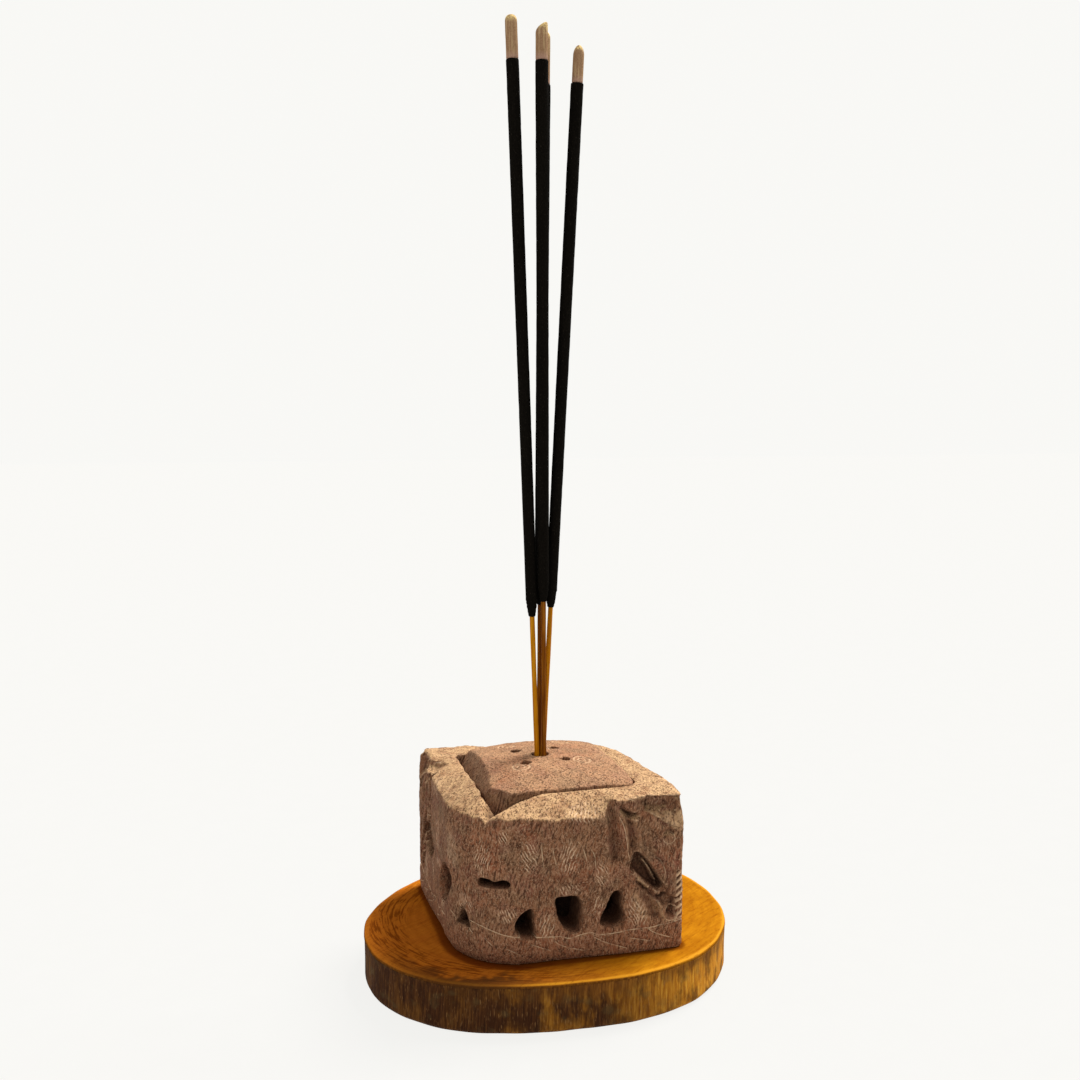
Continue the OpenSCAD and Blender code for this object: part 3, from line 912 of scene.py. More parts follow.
def rod(name, origin, axis, rows, seed, rough, sides=28, cut=None):
    """Closed round rod. rows are (distance along the axis, radius), in millimetres.
    cut tilts the top: (slope, direction in radians)."""
    side, other = side_ways(axis)
    rows = np.array(rows)
    turn = np.linspace(0, 2 * math.pi, sides, endpoint=False)
    h, r = (np.repeat(column[:, None], sides, 1) for column in rows.T)
    if cut:
        top = rows[-1, 0]
        lean = cut[0] * np.cos(turn - cut[1]) * r
        h = h + lean * smoothstep(top - 6, top - 1.5, h)
    ring = np.broadcast_to(np.stack([2 * np.cos(turn), 2 * np.sin(turn)], -1), (len(rows), sides, 2))
    grain = np.concatenate([ring, h[..., None]], -1).reshape(-1, 3)
    bumps = noise(grain, 0.9, seed) * 0.6 + noise(grain, 2.6, seed + 1) * 0.8
    solid = smoothstep(0, 0.4, r)
    r = r - rough * (0.7 + bumps.reshape(r.shape)) * solid
    co = (origin + h[..., None] * MM * axis
          + (r * np.cos(turn))[..., None] * MM * side + (r * np.sin(turn))[..., None] * MM * other)
    faces = []
    for i in range(len(rows) - 1):
        for j in range(sides):
            k = (j + 1) % sides
            faces.append((i * sides + j, i * sides + k, (i + 1) * sides + k, (i + 1) * sides + j))
    faces.append(tuple(range(sides))[::-1])
    faces.append(tuple((len(rows) - 1) * sides + j for j in range(sides)))
    return add_mesh(name, co.reshape(-1, 3), faces)


def tip_rows(start, end, style, r):
    """Outline of a tan tip: blunt dome, slanted cut or round end."""
    rows = [(start, r * 0.3), (start + 0.02, r * 0.96), (start + 0.5, r)]
    rows += [(h, r) for h in np.arange(start + 1.4, end - 3.0, 0.9)]
    return rows + [(end - back, r * f) for back, f in TIP_SHOULDER[style]]


def paste_rows(start, end, r_low, r_high, seed):
    """Outline of the black paste: a ragged taper on the bamboo, then a long rod."""
    uneven = np.random.default_rng(seed)
    rows = [(start, 0.8), (start + 0.06, 0.92)]
    for f in np.linspace(0.08, 1, 11):
        swell = 0.92 + (r_low - 0.92) * f ** 0.75 + 0.09 * uneven.uniform(-1, 1)
        rows.append((start + TAPER * f, swell))
    for h in np.arange(start + TAPER + 0.7, end - 0.4, 0.75):
        f = (h - start) / (end - start)
        rows.append((h, r_low + (r_high - r_low) * f))
    rows += [(end - 0.3, r_high), (end - 0.05, r_high * 0.97), (end, r_high * 0.8)]
    return rows


def bamboo_rows(start, end, seed):
    """Outline of the bare bamboo core: nearly straight, with blunt ends."""
    rows = [(start, 0.6), (start + 0.15, 0.7)]
    rows += [(h, 0.735 - 0.02 * math.sin(h * 0.23 + seed)) for h in np.arange(start + 0.8, end - 1, 1.6)]
    return rows + [(end - 0.2, 0.72), (end, 0.5)]


TAPER = 5.0              # length of the paste's ragged lower end
PASTE_R = (1.68, 1.84)   # radius of the paste above its taper and at its top
# Ends of the tips: distance below the top, and share of the full radius.
TIP_SHOULDER = {
    "dome": [(2.4, 1.0), (1.6, 0.99), (1.1, 0.94), (0.7, 0.84), (0.35, 0.68), (0.12, 0.46), (0.0, 0.12)],
    "cut": [(1.4, 1.0), (0.8, 0.97), (0.45, 0.90), (0.22, 0.76), (0.08, 0.46), (0.0, 0.1)],
    "round": [(2.6, 1.0), (1.9, 0.93), (1.3, 0.82), (0.8, 0.66), (0.35, 0.46), (0.1, 0.28), (0.0, 0.1)],
}
STICKS = {
    # tip style, tip radius, slant of the tip (slope, direction), seed
    "left": ("dome", 1.74, None, 101),
    "middle": ("cut", 1.74, (0.66, math.pi - 0.35), 111),
    "right": ("round", 1.6, None, 121),
    "back": ("dome", 1.66, None, 131),
}


def shape_stick(name):
    """The bamboo, the black paste and the tan tip of one stick, in that order."""
    body = name + "_stick"
    axis = joint_axis[body] / np.linalg.norm(joint_axis[body])
    style, tip_r, cut, seed = STICKS[name]
    origin, start, end = rod_rows(body + "_bamboo", axis)
    rows = bamboo_rows(start / MM, end / MM, seed)
    bamboo = rod("bare_bamboo_" + name, origin, axis, rows, seed, 0.012, 16)
    origin, start, end = rod_rows(body + "_paste", axis)
    rows = paste_rows(start / MM, end / MM, PASTE_R[0], PASTE_R[1], seed)
    paste = rod("black_paste_" + name, origin, axis, rows, seed + 3, 0.035, 28)
    origin, start, end = rod_rows(body + "_tip", axis)
    rows = tip_rows(start / MM + 0.02, end / MM - (1.0 if cut else 0), style, tip_r)
    tip = rod("tan_tip_" + name, origin, axis, rows, seed + 6, 0.03, 28, cut)
    parts = ((bamboo, "bamboo", "bamboo"), (paste, "paste", "charcoal_paste"), (tip, "tip", "tan_paste"))
    for piece, part, slot in parts:
        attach(piece, body)
        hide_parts(body + "_" + part)
    return bamboo, paste, tip


stick_pieces = {name: shape_stick(name) for name in STICKS}

# ---------------------------------------------------------------- surface attributes


def curvature(obj):
    """How sharply the surface turns at each vertex: above 0 on ridges, below 0 in grooves."""
    co = vertex_data(obj) / MM
    no = vertex_data(obj, "normal")
    edges = np.zeros(len(obj.data.edges) * 2, int)
    obj.data.edges.foreach_get("vertices", edges)
    a, b = edges.reshape(-1, 2).T
    total = np.zeros(len(co))
    hits = np.zeros(len(co))
    span = co[b] - co[a]
    length = np.maximum((span ** 2).sum(1), 0.02)
    np.add.at(total, a, -(span * no[a]).sum(1) / length)
    np.add.at(total, b, (span * no[b]).sum(1) / length)
    np.add.at(hits, a, 1)
    np.add.at(hits, b, 1)
    bend = total / np.maximum(hits, 1)
    # Averaged with the neighbours.
    soft = bend.copy()
    np.add.at(soft, a, bend[b])
    np.add.at(soft, b, bend[a])
    return soft / (hits + 1)


def mark_burner():
    """Masks of the burner: tan where the rim's top is polished and as painted highlight on up-facing ledges and
    ridges, pale edges with painted highlight, painted shade in hollows and grooves, the warm foot, lines,
    hatching.
    """
    upward = vertex_data(burner, "normal")[:, 2]
    local = in_stone(vertex_data(burner))
    near, shown, hatch_a, hatch_b = face_marks(local)
    face, u, under = nearest_face(local[:, 0], local[:, 1])
    carved = face % 2 == 0
    bend = curvature(burner)
    z = local[:, 2]
    inward = -wall_shape(local[:, 0], local[:, 1])
    ragged = 0.12 * noise(local, 1.6, 41) + 0.06 * noise(local, 0.6, 42)
    # Tan on the rim's up-facing top: polished stone, with painted light where it faces up.
    worn_and_lit = smoothstep(0.12, 0.68, upward + ragged) * smoothstep(37, 39.5, z) * (inward < 11)
    ridges = smoothstep(0.6, 0.25, rope(u, z, half_w)) * rope_zone(u, z, half_w) * carved
    # Painted highlight: up-facing ledges on the face are painted tan as if lit from above.
    ledge = 0.95 * smoothstep(0.2, 0.5, upward) * (z > 33) * (under < 4)
    # Painted shade: darker where a spot lies well under the face; grooves get painted shade in the mask below.
    deep = smoothstep(1.0, 4.5, under) * smoothstep(44, 40, z)
    # Tan places of the head: stone tan from wear, with painted highlight on the lit ledge and ridges.
    rubbed_and_lit = tan_paint(u, z, under) * carved * (0.8 + 0.5 * noise(local, 1.3, 43))
    # Pale: convex edges pale from wear with painted highlight on them, painted highlight on the rope's ridges, and
    # a little on the tan places.
    pale = smoothstep(0.25, 0.9, bend) * 0.6 + 0.95 * ridges + 0.2 * smoothstep(0.5, 1.0, rubbed_and_lit)
    set_attributes(burner, {
        "worn_and_lit": np.maximum(np.maximum(worn_and_lit, 0.5 * ledge), rubbed_and_lit),
        "pale": pale,
        # Painted shade in recesses under the face and in the grooves.
        "deep": 0.8 * deep + smoothstep(0.12, 0.7, -bend) * 0.7,
        "warm": smoothstep(15, 4, z),
        "line": 0.5 + 0.5 * near / LINE_REACH,
        "line_shown": shown,
        "hatch_a": hatch_a,
        "hatch_b": hatch_b,
    })


def mark_lid():
    """Masks of the lid: tan top with painted light where it faces up, pale rings, pale edges with painted
    highlight, painted shade on the slopes, at the foot and in grooves.
    """
    normal = vertex_data(lid, "normal")
    local = in_stone(vertex_data(lid))
    bend = curvature(lid)
    # Painted shade low down, where the lid sits in its seat.
    low = smoothstep(LEDGE_Z + 4, LEDGE_Z, local[:, 2])
    # Painted shade on the slopes that face left and to the front, away from the lamp.
    slope = 0.34 * smoothstep(0.3, 0.65, -normal[:, 0] - 0.6 * normal[:, 1])
    set_attributes(lid, {
        "worn_and_lit": 0.25 * smoothstep(0.5, 0.9, normal[:, 2]),
        "pale": smoothstep(0.04, 0.22, ring_marks(local)) * 0.8 + smoothstep(0.3, 1.0, bend) * 0.4,
        "deep": 0.5 * low + smoothstep(0.2, 0.8, -bend) * 0.6 + slope,
    })


def wood_attributes():
    """Masks of the slice: gold rim, dark streaks, stains, shaded side, shadow of the stone."""
    co = vertex_data(wood)
    x, y, height = (co / MM).T
    angle = np.arctan2(y, x)
    inward = bark_outer(angle) - np.hypot(x, y)
    flat = co / MM * (1, 1, 0)
    leftness = smoothstep(5, -40, x + 0.35 * y)
    drop = slice_t - height
    # A thin gold line where the top turns over, brown below it like the bark.
    turning = smoothstep(0.02, 0.10, drop) * smoothstep(0.45, 0.25, drop) * smoothstep(1.5, 1.0, inward)
    band = smoothstep(1.0, 3.0, inward) * smoothstep(15, 10, inward)
    # Dark bark creeps over the edge at the front left.
    front_left = np.exp(-((angle - math.radians(-128)) / 0.42) ** 2)
    reach = inward + 4.0 * noise(flat, 5.0, 52) + 2.0 * noise(flat, 1.4, 54)
    stone_x, stone_y, _ = in_stone(co).T
    set_attributes(wood, {
        "rim": turning * (0.85 - 0.75 * smoothstep(-8, -26, x)),
        "streaks": band * (0.12 + 0.88 * leftness),
        "stain": smoothstep(0.32, 0.5, drop) * (0.5 + 0.5 * smoothstep(30, 10, x)),
        "creep": 0.85 * front_left * smoothstep(6.5, 3.0, reach),
        "shade": leftness,
        # Painted shadow of the stone on the wood, round its foot.
        "contact_shadow": 0.75 * smoothstep(1.6, 0.2, wall_shape(stone_x, stone_y)),
    })


def bark_attributes():
    """Masks of the bark: golden on the right, partly painted light on the side towards the lamp, and a warm ragged
    band under the lip.
    """
    local = vertex_data(bark) / MM
    x = local[:, 0]
    flat = local * (1, 1, 0.5)
    height = local[:, 2] + 2.2 * noise(local * (1, 1, 0.2), 1.3, 56) + 2.5 * noise(flat, 8.0, 58)
    under_lip = smoothstep(slice_t - 6.0, slice_t - 1.0, height)
    set_attributes(bark, {
        # Gold towards the right: partly the bark's colour, partly painted light.
        "sunny": smoothstep(2, 34, x + 7 * noise(flat, 9.0, 57)),
        "mixed": 0.25 + 0.75 * smoothstep(-34, -14, x),
        "rim": 0.75 * under_lip * smoothstep(-30, 5, x),
    })


def tip_attributes(tip):
    """Masks of a tan tip: pressed streaks, pink dust low down and a painted golden highlight at the shoulder."""
    height = vertex_data(tip)[:, 2] / MM
    set_attributes(tip, {
        "pressed": np.full(len(height), 0.45),
        "blush": 0.6 * smoothstep(2.2, 0.6, height - height.min()),
        # Painted highlight: a golden band round the shoulder, as if lit.
        "shoulder_highlight": smoothstep(2.0, 1.2, height.max() - height),
    })


mark_burner()
mark_lid()
wood_attributes()
bark_attributes()
for pieces in stick_pieces.values():
    tip_attributes(pieces[2])

# ---------------------------------------------------------------- materials


class Shader:
    """Builds one node material. Texture sizes are millimetres on the object."""

    def __init__(self, name):
        self.material = bpy.data.materials.new(name)
        self.material.use_nodes = True
        self.tree = self.material.node_tree
        self.surface = next(n for n in self.tree.nodes if n.type == "BSDF_PRINCIPLED")
        place = self.node("ShaderNodeTexCoord").outputs["Object"]
        scale = self.node("ShaderNodeVectorMath", operation="SCALE")
        self.tree.links.new(place, scale.inputs[0])
        scale.inputs["Scale"].default_value = 1 / MM
        self.place = scale.outputs["Vector"]

    def node(self, kind, **settings):
        node = self.tree.nodes.new(kind)
        for key, value in settings.items():
            setattr(node, key, value)
        return node

    def put(self, value, socket):
        if isinstance(value, bpy.types.NodeSocket):
            self.tree.links.new(value, socket)
        elif isinstance(value, tuple) and len(value) == 3 and socket.type == "RGBA":
            socket.default_value = (*value, 1)
        else:
            socket.default_value = value

    def noise(self, size, detail=2.0, stretch=(1, 1, 1), turn=(0, 0, 0), roughness=0.5, warp=0.0, place=None):
        """Noise from 0 to 1 with blobs of a size and finer ones by the detail, on
        coordinates turned and then divided by the stretch."""
        mapping = self.node("ShaderNodeMapping", vector_type="TEXTURE")
        self.put(place or self.place, mapping.inputs["Vector"])
        mapping.inputs["Rotation"].default_value = tuple(math.radians(t) for t in turn)
        mapping.inputs["Scale"].default_value = stretch
        texture = self.node("ShaderNodeTexNoise")
        self.put(mapping.outputs["Vector"], texture.inputs["Vector"])
        texture.inputs["Scale"].default_value = 1 / size
        texture.inputs["Detail"].default_value = detail
        texture.inputs["Roughness"].default_value = roughness
        texture.inputs["Distortion"].default_value = warp
        return texture.outputs["Fac"]

    def ramp(self, fac, stops):
        """stops: (position, colour) or (position, number)."""
        ramp = self.node("ShaderNodeValToRGB")
        elements = ramp.color_ramp.elements
        while len(elements) < len(stops):
            elements.new(0.5)
        for element, (position, colour) in zip(elements, stops):
            element.position = position
            colour = colour if isinstance(colour, tuple) else (colour,) * 3
            element.color = (*colour, 1)
        self.put(fac, ramp.inputs["Fac"])
        return ramp.outputs["Color"]

    def rise(self, fac, low, high):
        """0 up to low and 1 from high on."""
        return self.ramp(fac, [(low, 0.0), (high, 1.0)])

    def strokes(self, spacing, along):
        """Parallel scratches across a direction, wavering and broken: 1 in each scratch."""
        dot = self.node("ShaderNodeVectorMath", operation="DOT_PRODUCT")
        self.put(self.place, dot.inputs[0])
        dot.inputs[1].default_value = [a * 2 * math.pi / spacing for a in along]
        waver = self.free_math("MULTIPLY", self.noise(3.0, 2.0), 14.0)
        wave = self.free_math("SINE", self.free_math("ADD", dot.outputs["Value"], waver))
        broken = self.rise(self.noise(1.3, 2.0, turn=(0, 0, 20)), 0.38, 0.56)
        return self.times(self.rise(wave, 0.15, 0.75), broken)

    def attribute(self, name):
        return self.node("ShaderNodeAttribute", attribute_name=name).outputs["Fac"]

    def mix(self, fac, a, b):
        mix = self.node("ShaderNodeMix", data_type="RGBA")
        self.put(fac, mix.inputs[0])
        self.put(a, mix.inputs[6])
        self.put(b, mix.inputs[7])
        return mix.outputs[2]

    def cover(self, colour, mask, share, over):
        """The colour, with another laid over it by at most the share where the mask is."""
        return self.mix(self.times(mask, share), colour, over)

    def math(self, operation, a, b):
        """Arithmetic on masks, kept between 0 and 1."""
        return self.free_math(operation, a, b, True)

    def times(self, a, b):
        return self.math("MULTIPLY", a, b)

    def free_math(self, operation, a, b=0.0, clamp=False):
        node = self.node("ShaderNodeMath", operation=operation, use_clamp=clamp)
        self.put(a, node.inputs[0])
        self.put(b, node.inputs[1])
        return node.outputs[0]

    def bump(self, height, distance, strength=1.0, normal=None):
        bump = self.node("ShaderNodeBump")
        bump.inputs["Distance"].default_value = distance * MM
        bump.inputs["Strength"].default_value = strength
        self.put(height, bump.inputs["Height"])
        if normal:
            self.put(normal, bump.inputs["Normal"])
        return bump.outputs["Normal"]

    def finish(self, colour, roughness, normal, specular):
        self.put(colour, self.surface.inputs["Base Color"])
        self.put(roughness, self.surface.inputs["Roughness"])
        self.put(normal, self.surface.inputs["Normal"])
        self.surface.inputs["Specular IOR Level"].default_value = specular
        return self.material


STONE_RUST = (0.25, 0.074, 0.033)
STONE_OLIVE = (0.115, 0.074, 0.040)
STONE_PLUM = (0.155, 0.052, 0.038)
STONE_FOOT = (0.23, 0.082, 0.038)
STONE_FIBRE = (0.38, 0.22, 0.128)
STONE_FLECK = (0.045, 0.017, 0.008)
STONE_DUST = (0.48, 0.305, 0.185)
STONE_HATCH = (0.60, 0.41, 0.26)
STONE_EDGE = (0.54, 0.35, 0.21)
STONE_LINE = (0.52, 0.36, 0.22)
STONE_SHADE = (0.042, 0.017, 0.009)


def soapstone(name, dark, middle, light, rim, turn):
    """Mottled, fibrous carved stone: tan on polished rims with painted highlight on lit ledges and ridges, pale on
    edges with painted highlight, painted shade in hollows, scratches and hatching.
    turn, in degrees, sets the patterns of two stones apart."""
    s = Shader(name)
    blotch = s.noise(7.0, 5.0, turn=(turn, 20, 0), roughness=0.6, warp=0.4)
    colour = s.ramp(blotch, [(0.32, dark), (0.5, middle), (0.68, light)])
    rust = s.rise(s.noise(11.0, 3.0, turn=(0, turn, 40)), 0.52, 0.7)
    colour = s.cover(colour, rust, 0.6, STONE_RUST)
    grey = s.rise(s.noise(8.0, 4.0, turn=(30, turn, 10), roughness=0.6), 0.48, 0.64)
    colour = s.cover(colour, grey, 0.55, STONE_OLIVE)
    plum = s.rise(s.noise(6.0, 4.0, turn=(70, 10, turn), roughness=0.65), 0.5, 0.64)
    colour = s.cover(colour, plum, 0.45, STONE_PLUM)
    tan_dark = (rim[0] * 0.58, rim[1] * 0.48, rim[2] * 0.44)
    tan_light = (rim[0] * 1.22, rim[1] * 1.28, rim[2] * 1.3)
    tan = s.ramp(s.noise(3.4, 5.0, turn=(15, 0, turn), roughness=0.7),
                 [(0.36, tan_dark), (0.5, rim), (0.7, tan_light)])
    # Tan of polished rims, and painted highlight on lit ledges and ridges.
    colour = s.mix(s.attribute("worn_and_lit"), colour, tan)
    # Pale fibres in two directions, each in its own areas.
    fibre = s.noise(0.42, 2.0, stretch=(1, 1, 7), turn=(14, -12, 0), roughness=0.6)
    cross = s.noise(0.42, 2.0, stretch=(1, 1, 7), turn=(-36, 34, 0), roughness=0.6)
    where = s.rise(s.noise(9.0, 1.0, turn=(0, 0, turn)), 0.45, 0.55)
    grain = s.mix(where, s.rise(fibre, 0.45, 0.66), s.rise(cross, 0.45, 0.66))
    colour = s.cover(colour, s.attribute("warm"), 0.5, STONE_FOOT)
    colour = s.cover(colour, grain, 0.7, STONE_FIBRE)
    dark_fibre = s.rise(s.noise(0.5, 3.0, stretch=(1, 1, 6), turn=(-8, 16, 0), roughness=0.65), 0.53, 0.61)
    speck = s.rise(s.noise(0.9, 4.0, stretch=(1, 1, 1.5), turn=(20, 30, 0), roughness=0.75), 0.56, 0.65)
    flecks = s.math("MAXIMUM", s.times(speck, 0.85), s.times(dark_fibre, 0.82))
    colour = s.mix(flecks, colour, STONE_FLECK)
    dust = s.rise(s.noise(0.38, 2.0, turn=(40, 0, 0)), 0.6, 0.74)
    colour = s.cover(colour, dust, 0.6, STONE_DUST)
    hatch = s.math("MAXIMUM", s.times(s.strokes(0.95, (0.92, -0.92, -0.38)), s.attribute("hatch_a")),
                   s.times(s.strokes(0.85, (0.85, -0.85, 0.52)), s.attribute("hatch_b")))
    colour = s.cover(colour, hatch, 0.64, STONE_HATCH)
    # Pale edges from wear, with painted highlight on ridges and the rope.
    colour = s.mix(s.attribute("pale"), colour, STONE_EDGE)
    line = s.ramp(s.attribute("line"), [(0.43, 0.0), (0.465, 1.0), (0.535, 1.0), (0.57, 0.0)])
    worn_off = s.ramp(s.noise(2.6, 3.0, turn=(20, 0, 0)), [(0.38, 0.3), (0.54, 1.0)])
    line = s.times(s.times(line, s.attribute("line_shown")), worn_off)
    colour = s.cover(colour, line, 0.76, STONE_LINE)
    # Painted shade in hollows, grooves and recesses.
    colour = s.cover(colour, s.attribute("deep"), 0.85, STONE_SHADE)
    pits = s.math("ADD", s.times(flecks, 0.5), s.times(grain, 0.5))
    pits = s.math("SUBTRACT", pits, s.times(s.math("MAXIMUM", hatch, line), 0.5))
    normal = s.bump(pits, 0.20, 1.0, s.bump(s.noise(0.45, 3.0), 0.13))
    return s.finish(colour, 0.85, normal, 0.08)


def slice_wood():
    """Waxed golden heartwood: faint rings, saw streaks and dark red streaks along the rim."""
    s = Shader("slice_wood")
    split = s.node("ShaderNodeSeparateXYZ")
    s.put(s.place, split.inputs[0])
    away = s.free_math("MULTIPLY", split.outputs["Y"], -1.0)
    angle = s.free_math("ARCTAN2", split.outputs["X"], away)
    flat = s.node("ShaderNodeVectorMath", operation="MULTIPLY")
    s.put(s.place, flat.inputs[0])
    flat.inputs[1].default_value = (0.93, 1.07, 0.0)
    length = s.node("ShaderNodeVectorMath", operation="LENGTH")
    s.put(flat.outputs[0], length.inputs[0])
    radius = length.outputs["Value"]
    # Year rings, about 3 mm apart.
    wobble = s.free_math("MULTIPLY", s.noise(16.0, 3.0, warp=0.3), 11.0)
    rings = s.free_math("PINGPONG", s.free_math("ADD", wobble, radius), 1.5)
    rings = s.ramp(s.free_math("MULTIPLY", rings, 0.66), [(0.0, 0.0), (0.75, 0.5), (1.0, 1.0)])
    cloud = s.noise(11.0, 6.0, turn=(0, 0, 30), roughness=0.68)
    colour = s.ramp(cloud, [(0.35, (0.275, 0.098, 0.0036)), (0.5, (0.325, 0.124, 0.0045)),
                            (0.65, (0.375, 0.150, 0.006))])
    colour = s.cover(colour, s.attribute("shade"), 0.6, (0.345, 0.080, 0.012))
    colour = s.cover(colour, rings, 0.24, (0.16, 0.032, 0.001))
    # Saw streaks, dark and golden.
    streak = s.noise(0.8, 4.0, stretch=(9, 1.0, 4), turn=(0, 0, 34), roughness=0.65)
    streak = s.rise(streak, 0.5, 0.72)
    colour = s.cover(colour, streak, 0.45, (0.13, 0.024, 0.001))
    gold = s.noise(1.2, 3.0, stretch=(6, 1.0, 4), turn=(0, 0, 12), roughness=0.65)
    colour = s.cover(colour, s.rise(gold, 0.55, 0.75), 0.25, (0.34, 0.120, 0.005))
    # Dark red streaks that follow the rim: noise on angle and radius.
    along_rim = s.node("ShaderNodeCombineXYZ")
    s.put(s.free_math("MULTIPLY", angle, 6.0), along_rim.inputs[0])
    s.put(s.free_math("MULTIPLY", radius, 1.35), along_rim.inputs[1])
    drawn = s.noise(1.0, 3.0, roughness=0.6, place=along_rim.outputs[0])
    red = s.times(s.rise(drawn, 0.48, 0.58), s.attribute("streaks"))
    colour = s.cover(colour, red, 0.7, (0.085, 0.014, 0.001))
    # Painted shadow of the stone, dark red round its foot.
    colour = s.mix(s.attribute("contact_shadow"), colour, (0.060, 0.006, 0.001))
    side = s.ramp(s.noise(0.6, 3.0, stretch=(1, 1, 8)),
                  [(0.35, (0.075, 0.024, 0.004)), (0.65, (0.17, 0.062, 0.008))])
    colour = s.mix(s.attribute("stain"), colour, side)
    colour = s.mix(s.attribute("creep"), colour, (0.050, 0.019, 0.006))
    colour = s.mix(s.attribute("rim"), colour, (0.46, 0.20, 0.014))
    fleck = s.noise(0.7, 4.0, stretch=(2.6, 1, 1), turn=(0, 0, 34), roughness=0.7)
    fleck = s.rise(fleck, 0.57, 0.67)
    colour = s.cover(colour, fleck, 0.35, (0.10, 0.02, 0.001))
    pores = s.math("ADD", s.times(fleck, 0.6), s.times(streak, 0.4))
    roughness = s.ramp(s.noise(6.0, 3.0), [(0.3, 0.42), (0.7, 0.58)])
    return s.finish(colour, roughness, s.bump(pores, 0.05, 0.7), 0.0)


def bark_skin():
    """Fibrous inner bark: vertical strands with dark stains, golden on one side, partly painted light on the side
    towards the lamp.
    """
    s = Shader("bark")
    strand = s.noise(0.5, 3.0, stretch=(1, 1, 16), turn=(2, 2, 0), roughness=0.65)
    dull = s.ramp(strand, [(0.3, (0.018, 0.0058, 0.0022)), (0.5, (0.040, 0.0135, 0.0040)),
                           (0.7, (0.090, 0.034, 0.009))])
    gold = s.ramp(strand, [(0.3, (0.27, 0.085, 0.006)), (0.5, (0.46, 0.18, 0.013)),
                           (0.7, (0.60, 0.29, 0.034))])
    patch = s.rise(s.noise(9.0, 4.0, stretch=(1, 1, 1.6), roughness=0.6), 0.44, 0.6)
    patch = s.times(patch, s.attribute("mixed"))
    # Gold share: partly the bark's colour, partly painted light on the lit side.
    share = s.math("MAXIMUM", s.times(s.attribute("sunny"), 0.95), s.times(patch, 0.34))
    colour = s.mix(share, dull, gold)
    stain = s.noise(5.0, 4.0, stretch=(1, 1, 1.9), turn=(0, 0, 60), roughness=0.6)
    colour = s.cover(colour, s.rise(stain, 0.48, 0.62), 0.7, (0.028, 0.009, 0.003))
    moss = s.rise(s.noise(4.0, 3.0, turn=(50, 0, 20)), 0.55, 0.7)
    colour = s.cover(colour, moss, 0.35, (0.075, 0.052, 0.02))
    glint = s.rise(s.noise(0.3, 2.0, stretch=(1, 1, 9), turn=(4, -3, 0)), 0.62, 0.72)
    colour = s.cover(colour, glint, 0.35, (0.30, 0.16, 0.06))
    under_lip = s.ramp(strand, [(0.3, (0.07, 0.022, 0.004)), (0.7, (0.21, 0.078, 0.010))])
    colour = s.mix(s.attribute("rim"), colour, under_lip)
    normal = s.bump(strand, 0.10, 0.8, s.bump(s.noise(0.35, 3.0), 0.05))
    return s.finish(colour, 0.82, normal, 0.05)


def bamboo_skin(name, low, middle, high):
    """Split bamboo: fine strands along the stick, darker in places."""
    s = Shader(name)
    strand = s.noise(0.35, 2.0, stretch=(1, 1, 40), roughness=0.6)
    colour = s.ramp(strand, [(0.3, low), (0.55, middle), (0.75, high)])
    shade = s.rise(s.noise(5.0, 2.0, stretch=(1, 1, 4)), 0.4, 0.7)
    colour = s.cover(colour, shade, 0.45, low)
    return s.finish(colour, 0.55, s.bump(strand, 0.04, 0.8), 0.02)


def paste_skin(name, dark, light, speck_colour, speck_from):
    """Rolled dry incense paste: fine powdery grain with stray specks."""
    s = Shader(name)
    grain = s.noise(0.35, 4.0, roughness=0.7)
    colour = s.ramp(grain, [(0.3, dark), (0.7, light)])
    band = s.rise(s.noise(3.0, 2.0, stretch=(1, 1, 5)), 0.35, 0.7)
    colour = s.cover(colour, band, 0.35, dark)
    # Streaks, blush and the painted shoulder highlight show only on the tips: the black paste carries no such
    # masks.
    streak = s.rise(s.noise(0.5, 2.0, stretch=(1, 1, 16), turn=(0, 0, 15)), 0.5, 0.64)
    colour = s.mix(s.times(streak, s.attribute("pressed")), colour, (0.52, 0.38, 0.20))
    colour = s.mix(s.attribute("blush"), colour, (0.36, 0.215, 0.170))
    # Painted golden highlight in flecks round the shoulder.
    shoulder_highlight = s.times(s.rise(s.noise(0.6, 3.0), 0.42, 0.55), s.attribute("shoulder_highlight"))
    colour = s.mix(shoulder_highlight, colour, (0.64, 0.47, 0.20))
    speck = s.rise(s.noise(0.3, 2.0, turn=(30, 10, 0)), speck_from, speck_from + 0.06)
    colour = s.cover(colour, speck, 0.6, speck_colour)
    normal = s.bump(grain, 0.09, 0.9, s.bump(s.noise(1.1, 2.0), 0.05))
    return s.finish(colour, 0.95, normal, 0.02)


MATERIALS = {
    burner: soapstone("soapstone", (0.130, 0.048, 0.023), (0.176, 0.073, 0.035), (0.225, 0.105, 0.051),
                      (0.41, 0.250, 0.124), 10),
    lid: soapstone("lid_soapstone", (0.240, 0.110, 0.053), (0.310, 0.157, 0.079), (0.365, 0.197, 0.101),
                   (0.33, 0.190, 0.098), 55),
    wood: slice_wood(),
    bark: bark_skin(),
}
golden = bamboo_skin("bamboo", (0.27, 0.085, 0.002), (0.46, 0.180, 0.004), (0.62, 0.30, 0.02))
brown = bamboo_skin("brown_bamboo", (0.085, 0.021, 0.002), (0.175, 0.052, 0.003), (0.36, 0.14, 0.014))
charcoal = paste_skin("charcoal_paste", (0.002, 0.0016, 0.0012), (0.007, 0.0055, 0.004),
                      (0.035, 0.028, 0.02), 0.66)
tan = paste_skin("tan_paste", (0.20, 0.110, 0.056), (0.34, 0.21, 0.118), (0.10, 0.05, 0.025), 0.64)
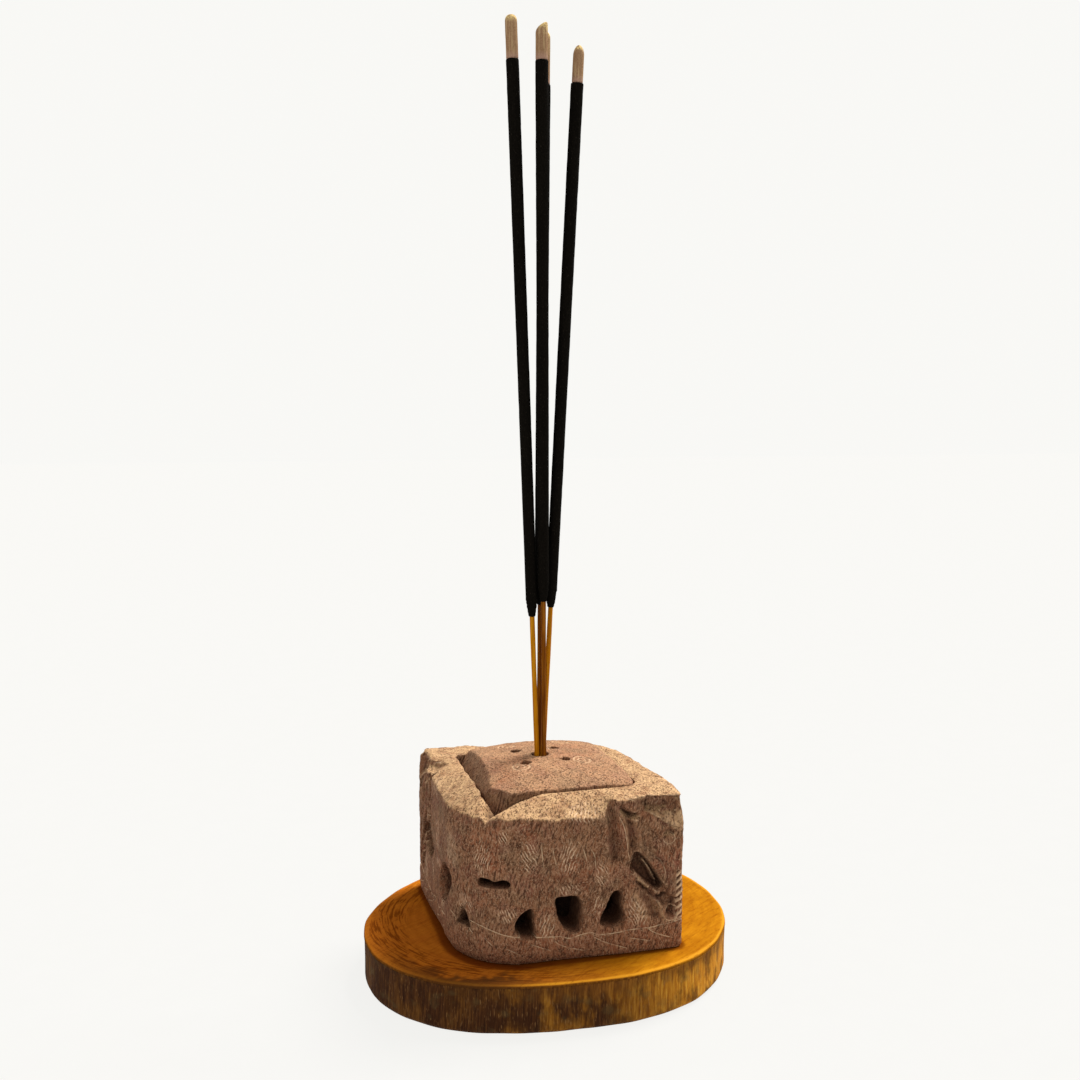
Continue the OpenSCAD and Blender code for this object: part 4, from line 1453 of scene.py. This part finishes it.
for name, pieces in stick_pieces.items():
    stem = brown if name in ("middle", "back") else golden
    for piece, material in zip(pieces, (stem, charcoal, tan)):
        MATERIALS[piece] = material
for piece, material in MATERIALS.items():
    piece.data.materials.clear()
    piece.data.materials.append(material)

# ---------------------------------------------------------------- floor and light

FLOOR_HALF = 4.0
PAPER_WHITE = (0.945, 0.94, 0.915, 1)


def pale_floor():
    """A wide plain floor, just below the slice."""
    run = np.linspace(-FLOOR_HALF, FLOOR_HALF, 5)
    vertices = [(x, y, -0.0001) for y in run for x in run]
    rows = len(run)
    faces = [(j * rows + i, j * rows + i + 1, (j + 1) * rows + i + 1, (j + 1) * rows + i)
             for j in range(rows - 1) for i in range(rows - 1)]
    floor = add_mesh("floor", vertices, faces)
    s = Shader("paper_floor")
    paper = s.ramp(s.noise(9.0, 3.0), [(0.3, (0.034, 0.033, 0.032)), (0.7, (0.036, 0.035, 0.034))])
    floor.data.materials.append(s.finish(paper, 0.95, s.bump(s.noise(3.0, 2.0), 0.1, 0.3), 0.0))
    # Lit from within like a light table, so that the object's shadow stays faint.
    s.surface.inputs["Emission Color"].default_value = PAPER_WHITE
    s.surface.inputs["Emission Strength"].default_value = 0.91


def soft_sun(name, place, target, strength, spread, colour):
    """A far soft lamp at a direction, so that the floor is lit evenly all over."""
    light = bpy.data.lights.new(name, "SUN")
    light.energy = strength
    light.angle = math.radians(spread)
    light.color = colour
    obj = bpy.data.objects.new(name, light)
    bpy.context.scene.collection.objects.link(obj)
    obj.location = place
    direction = np.array(target) - np.array(place)
    direction = direction / np.linalg.norm(direction)
    pitch = math.acos(-direction[2])
    heading = math.atan2(direction[1], direction[0])
    obj.rotation_euler = (pitch, 0, heading - math.pi / 2)


pale_floor()
soft_sun("key", place=(0.50, 0.22, 0.90), target=(0.0, 0.0, 0.05), strength=6.4, spread=24.0,
         colour=(1.0, 0.985, 0.96))
world = bpy.data.worlds.new("studio")
world.use_nodes = True
backdrop = world.node_tree.nodes["Background"]
backdrop.inputs["Color"].default_value = PAPER_WHITE
backdrop.inputs["Strength"].default_value = 1.0
bpy.context.scene.world = world
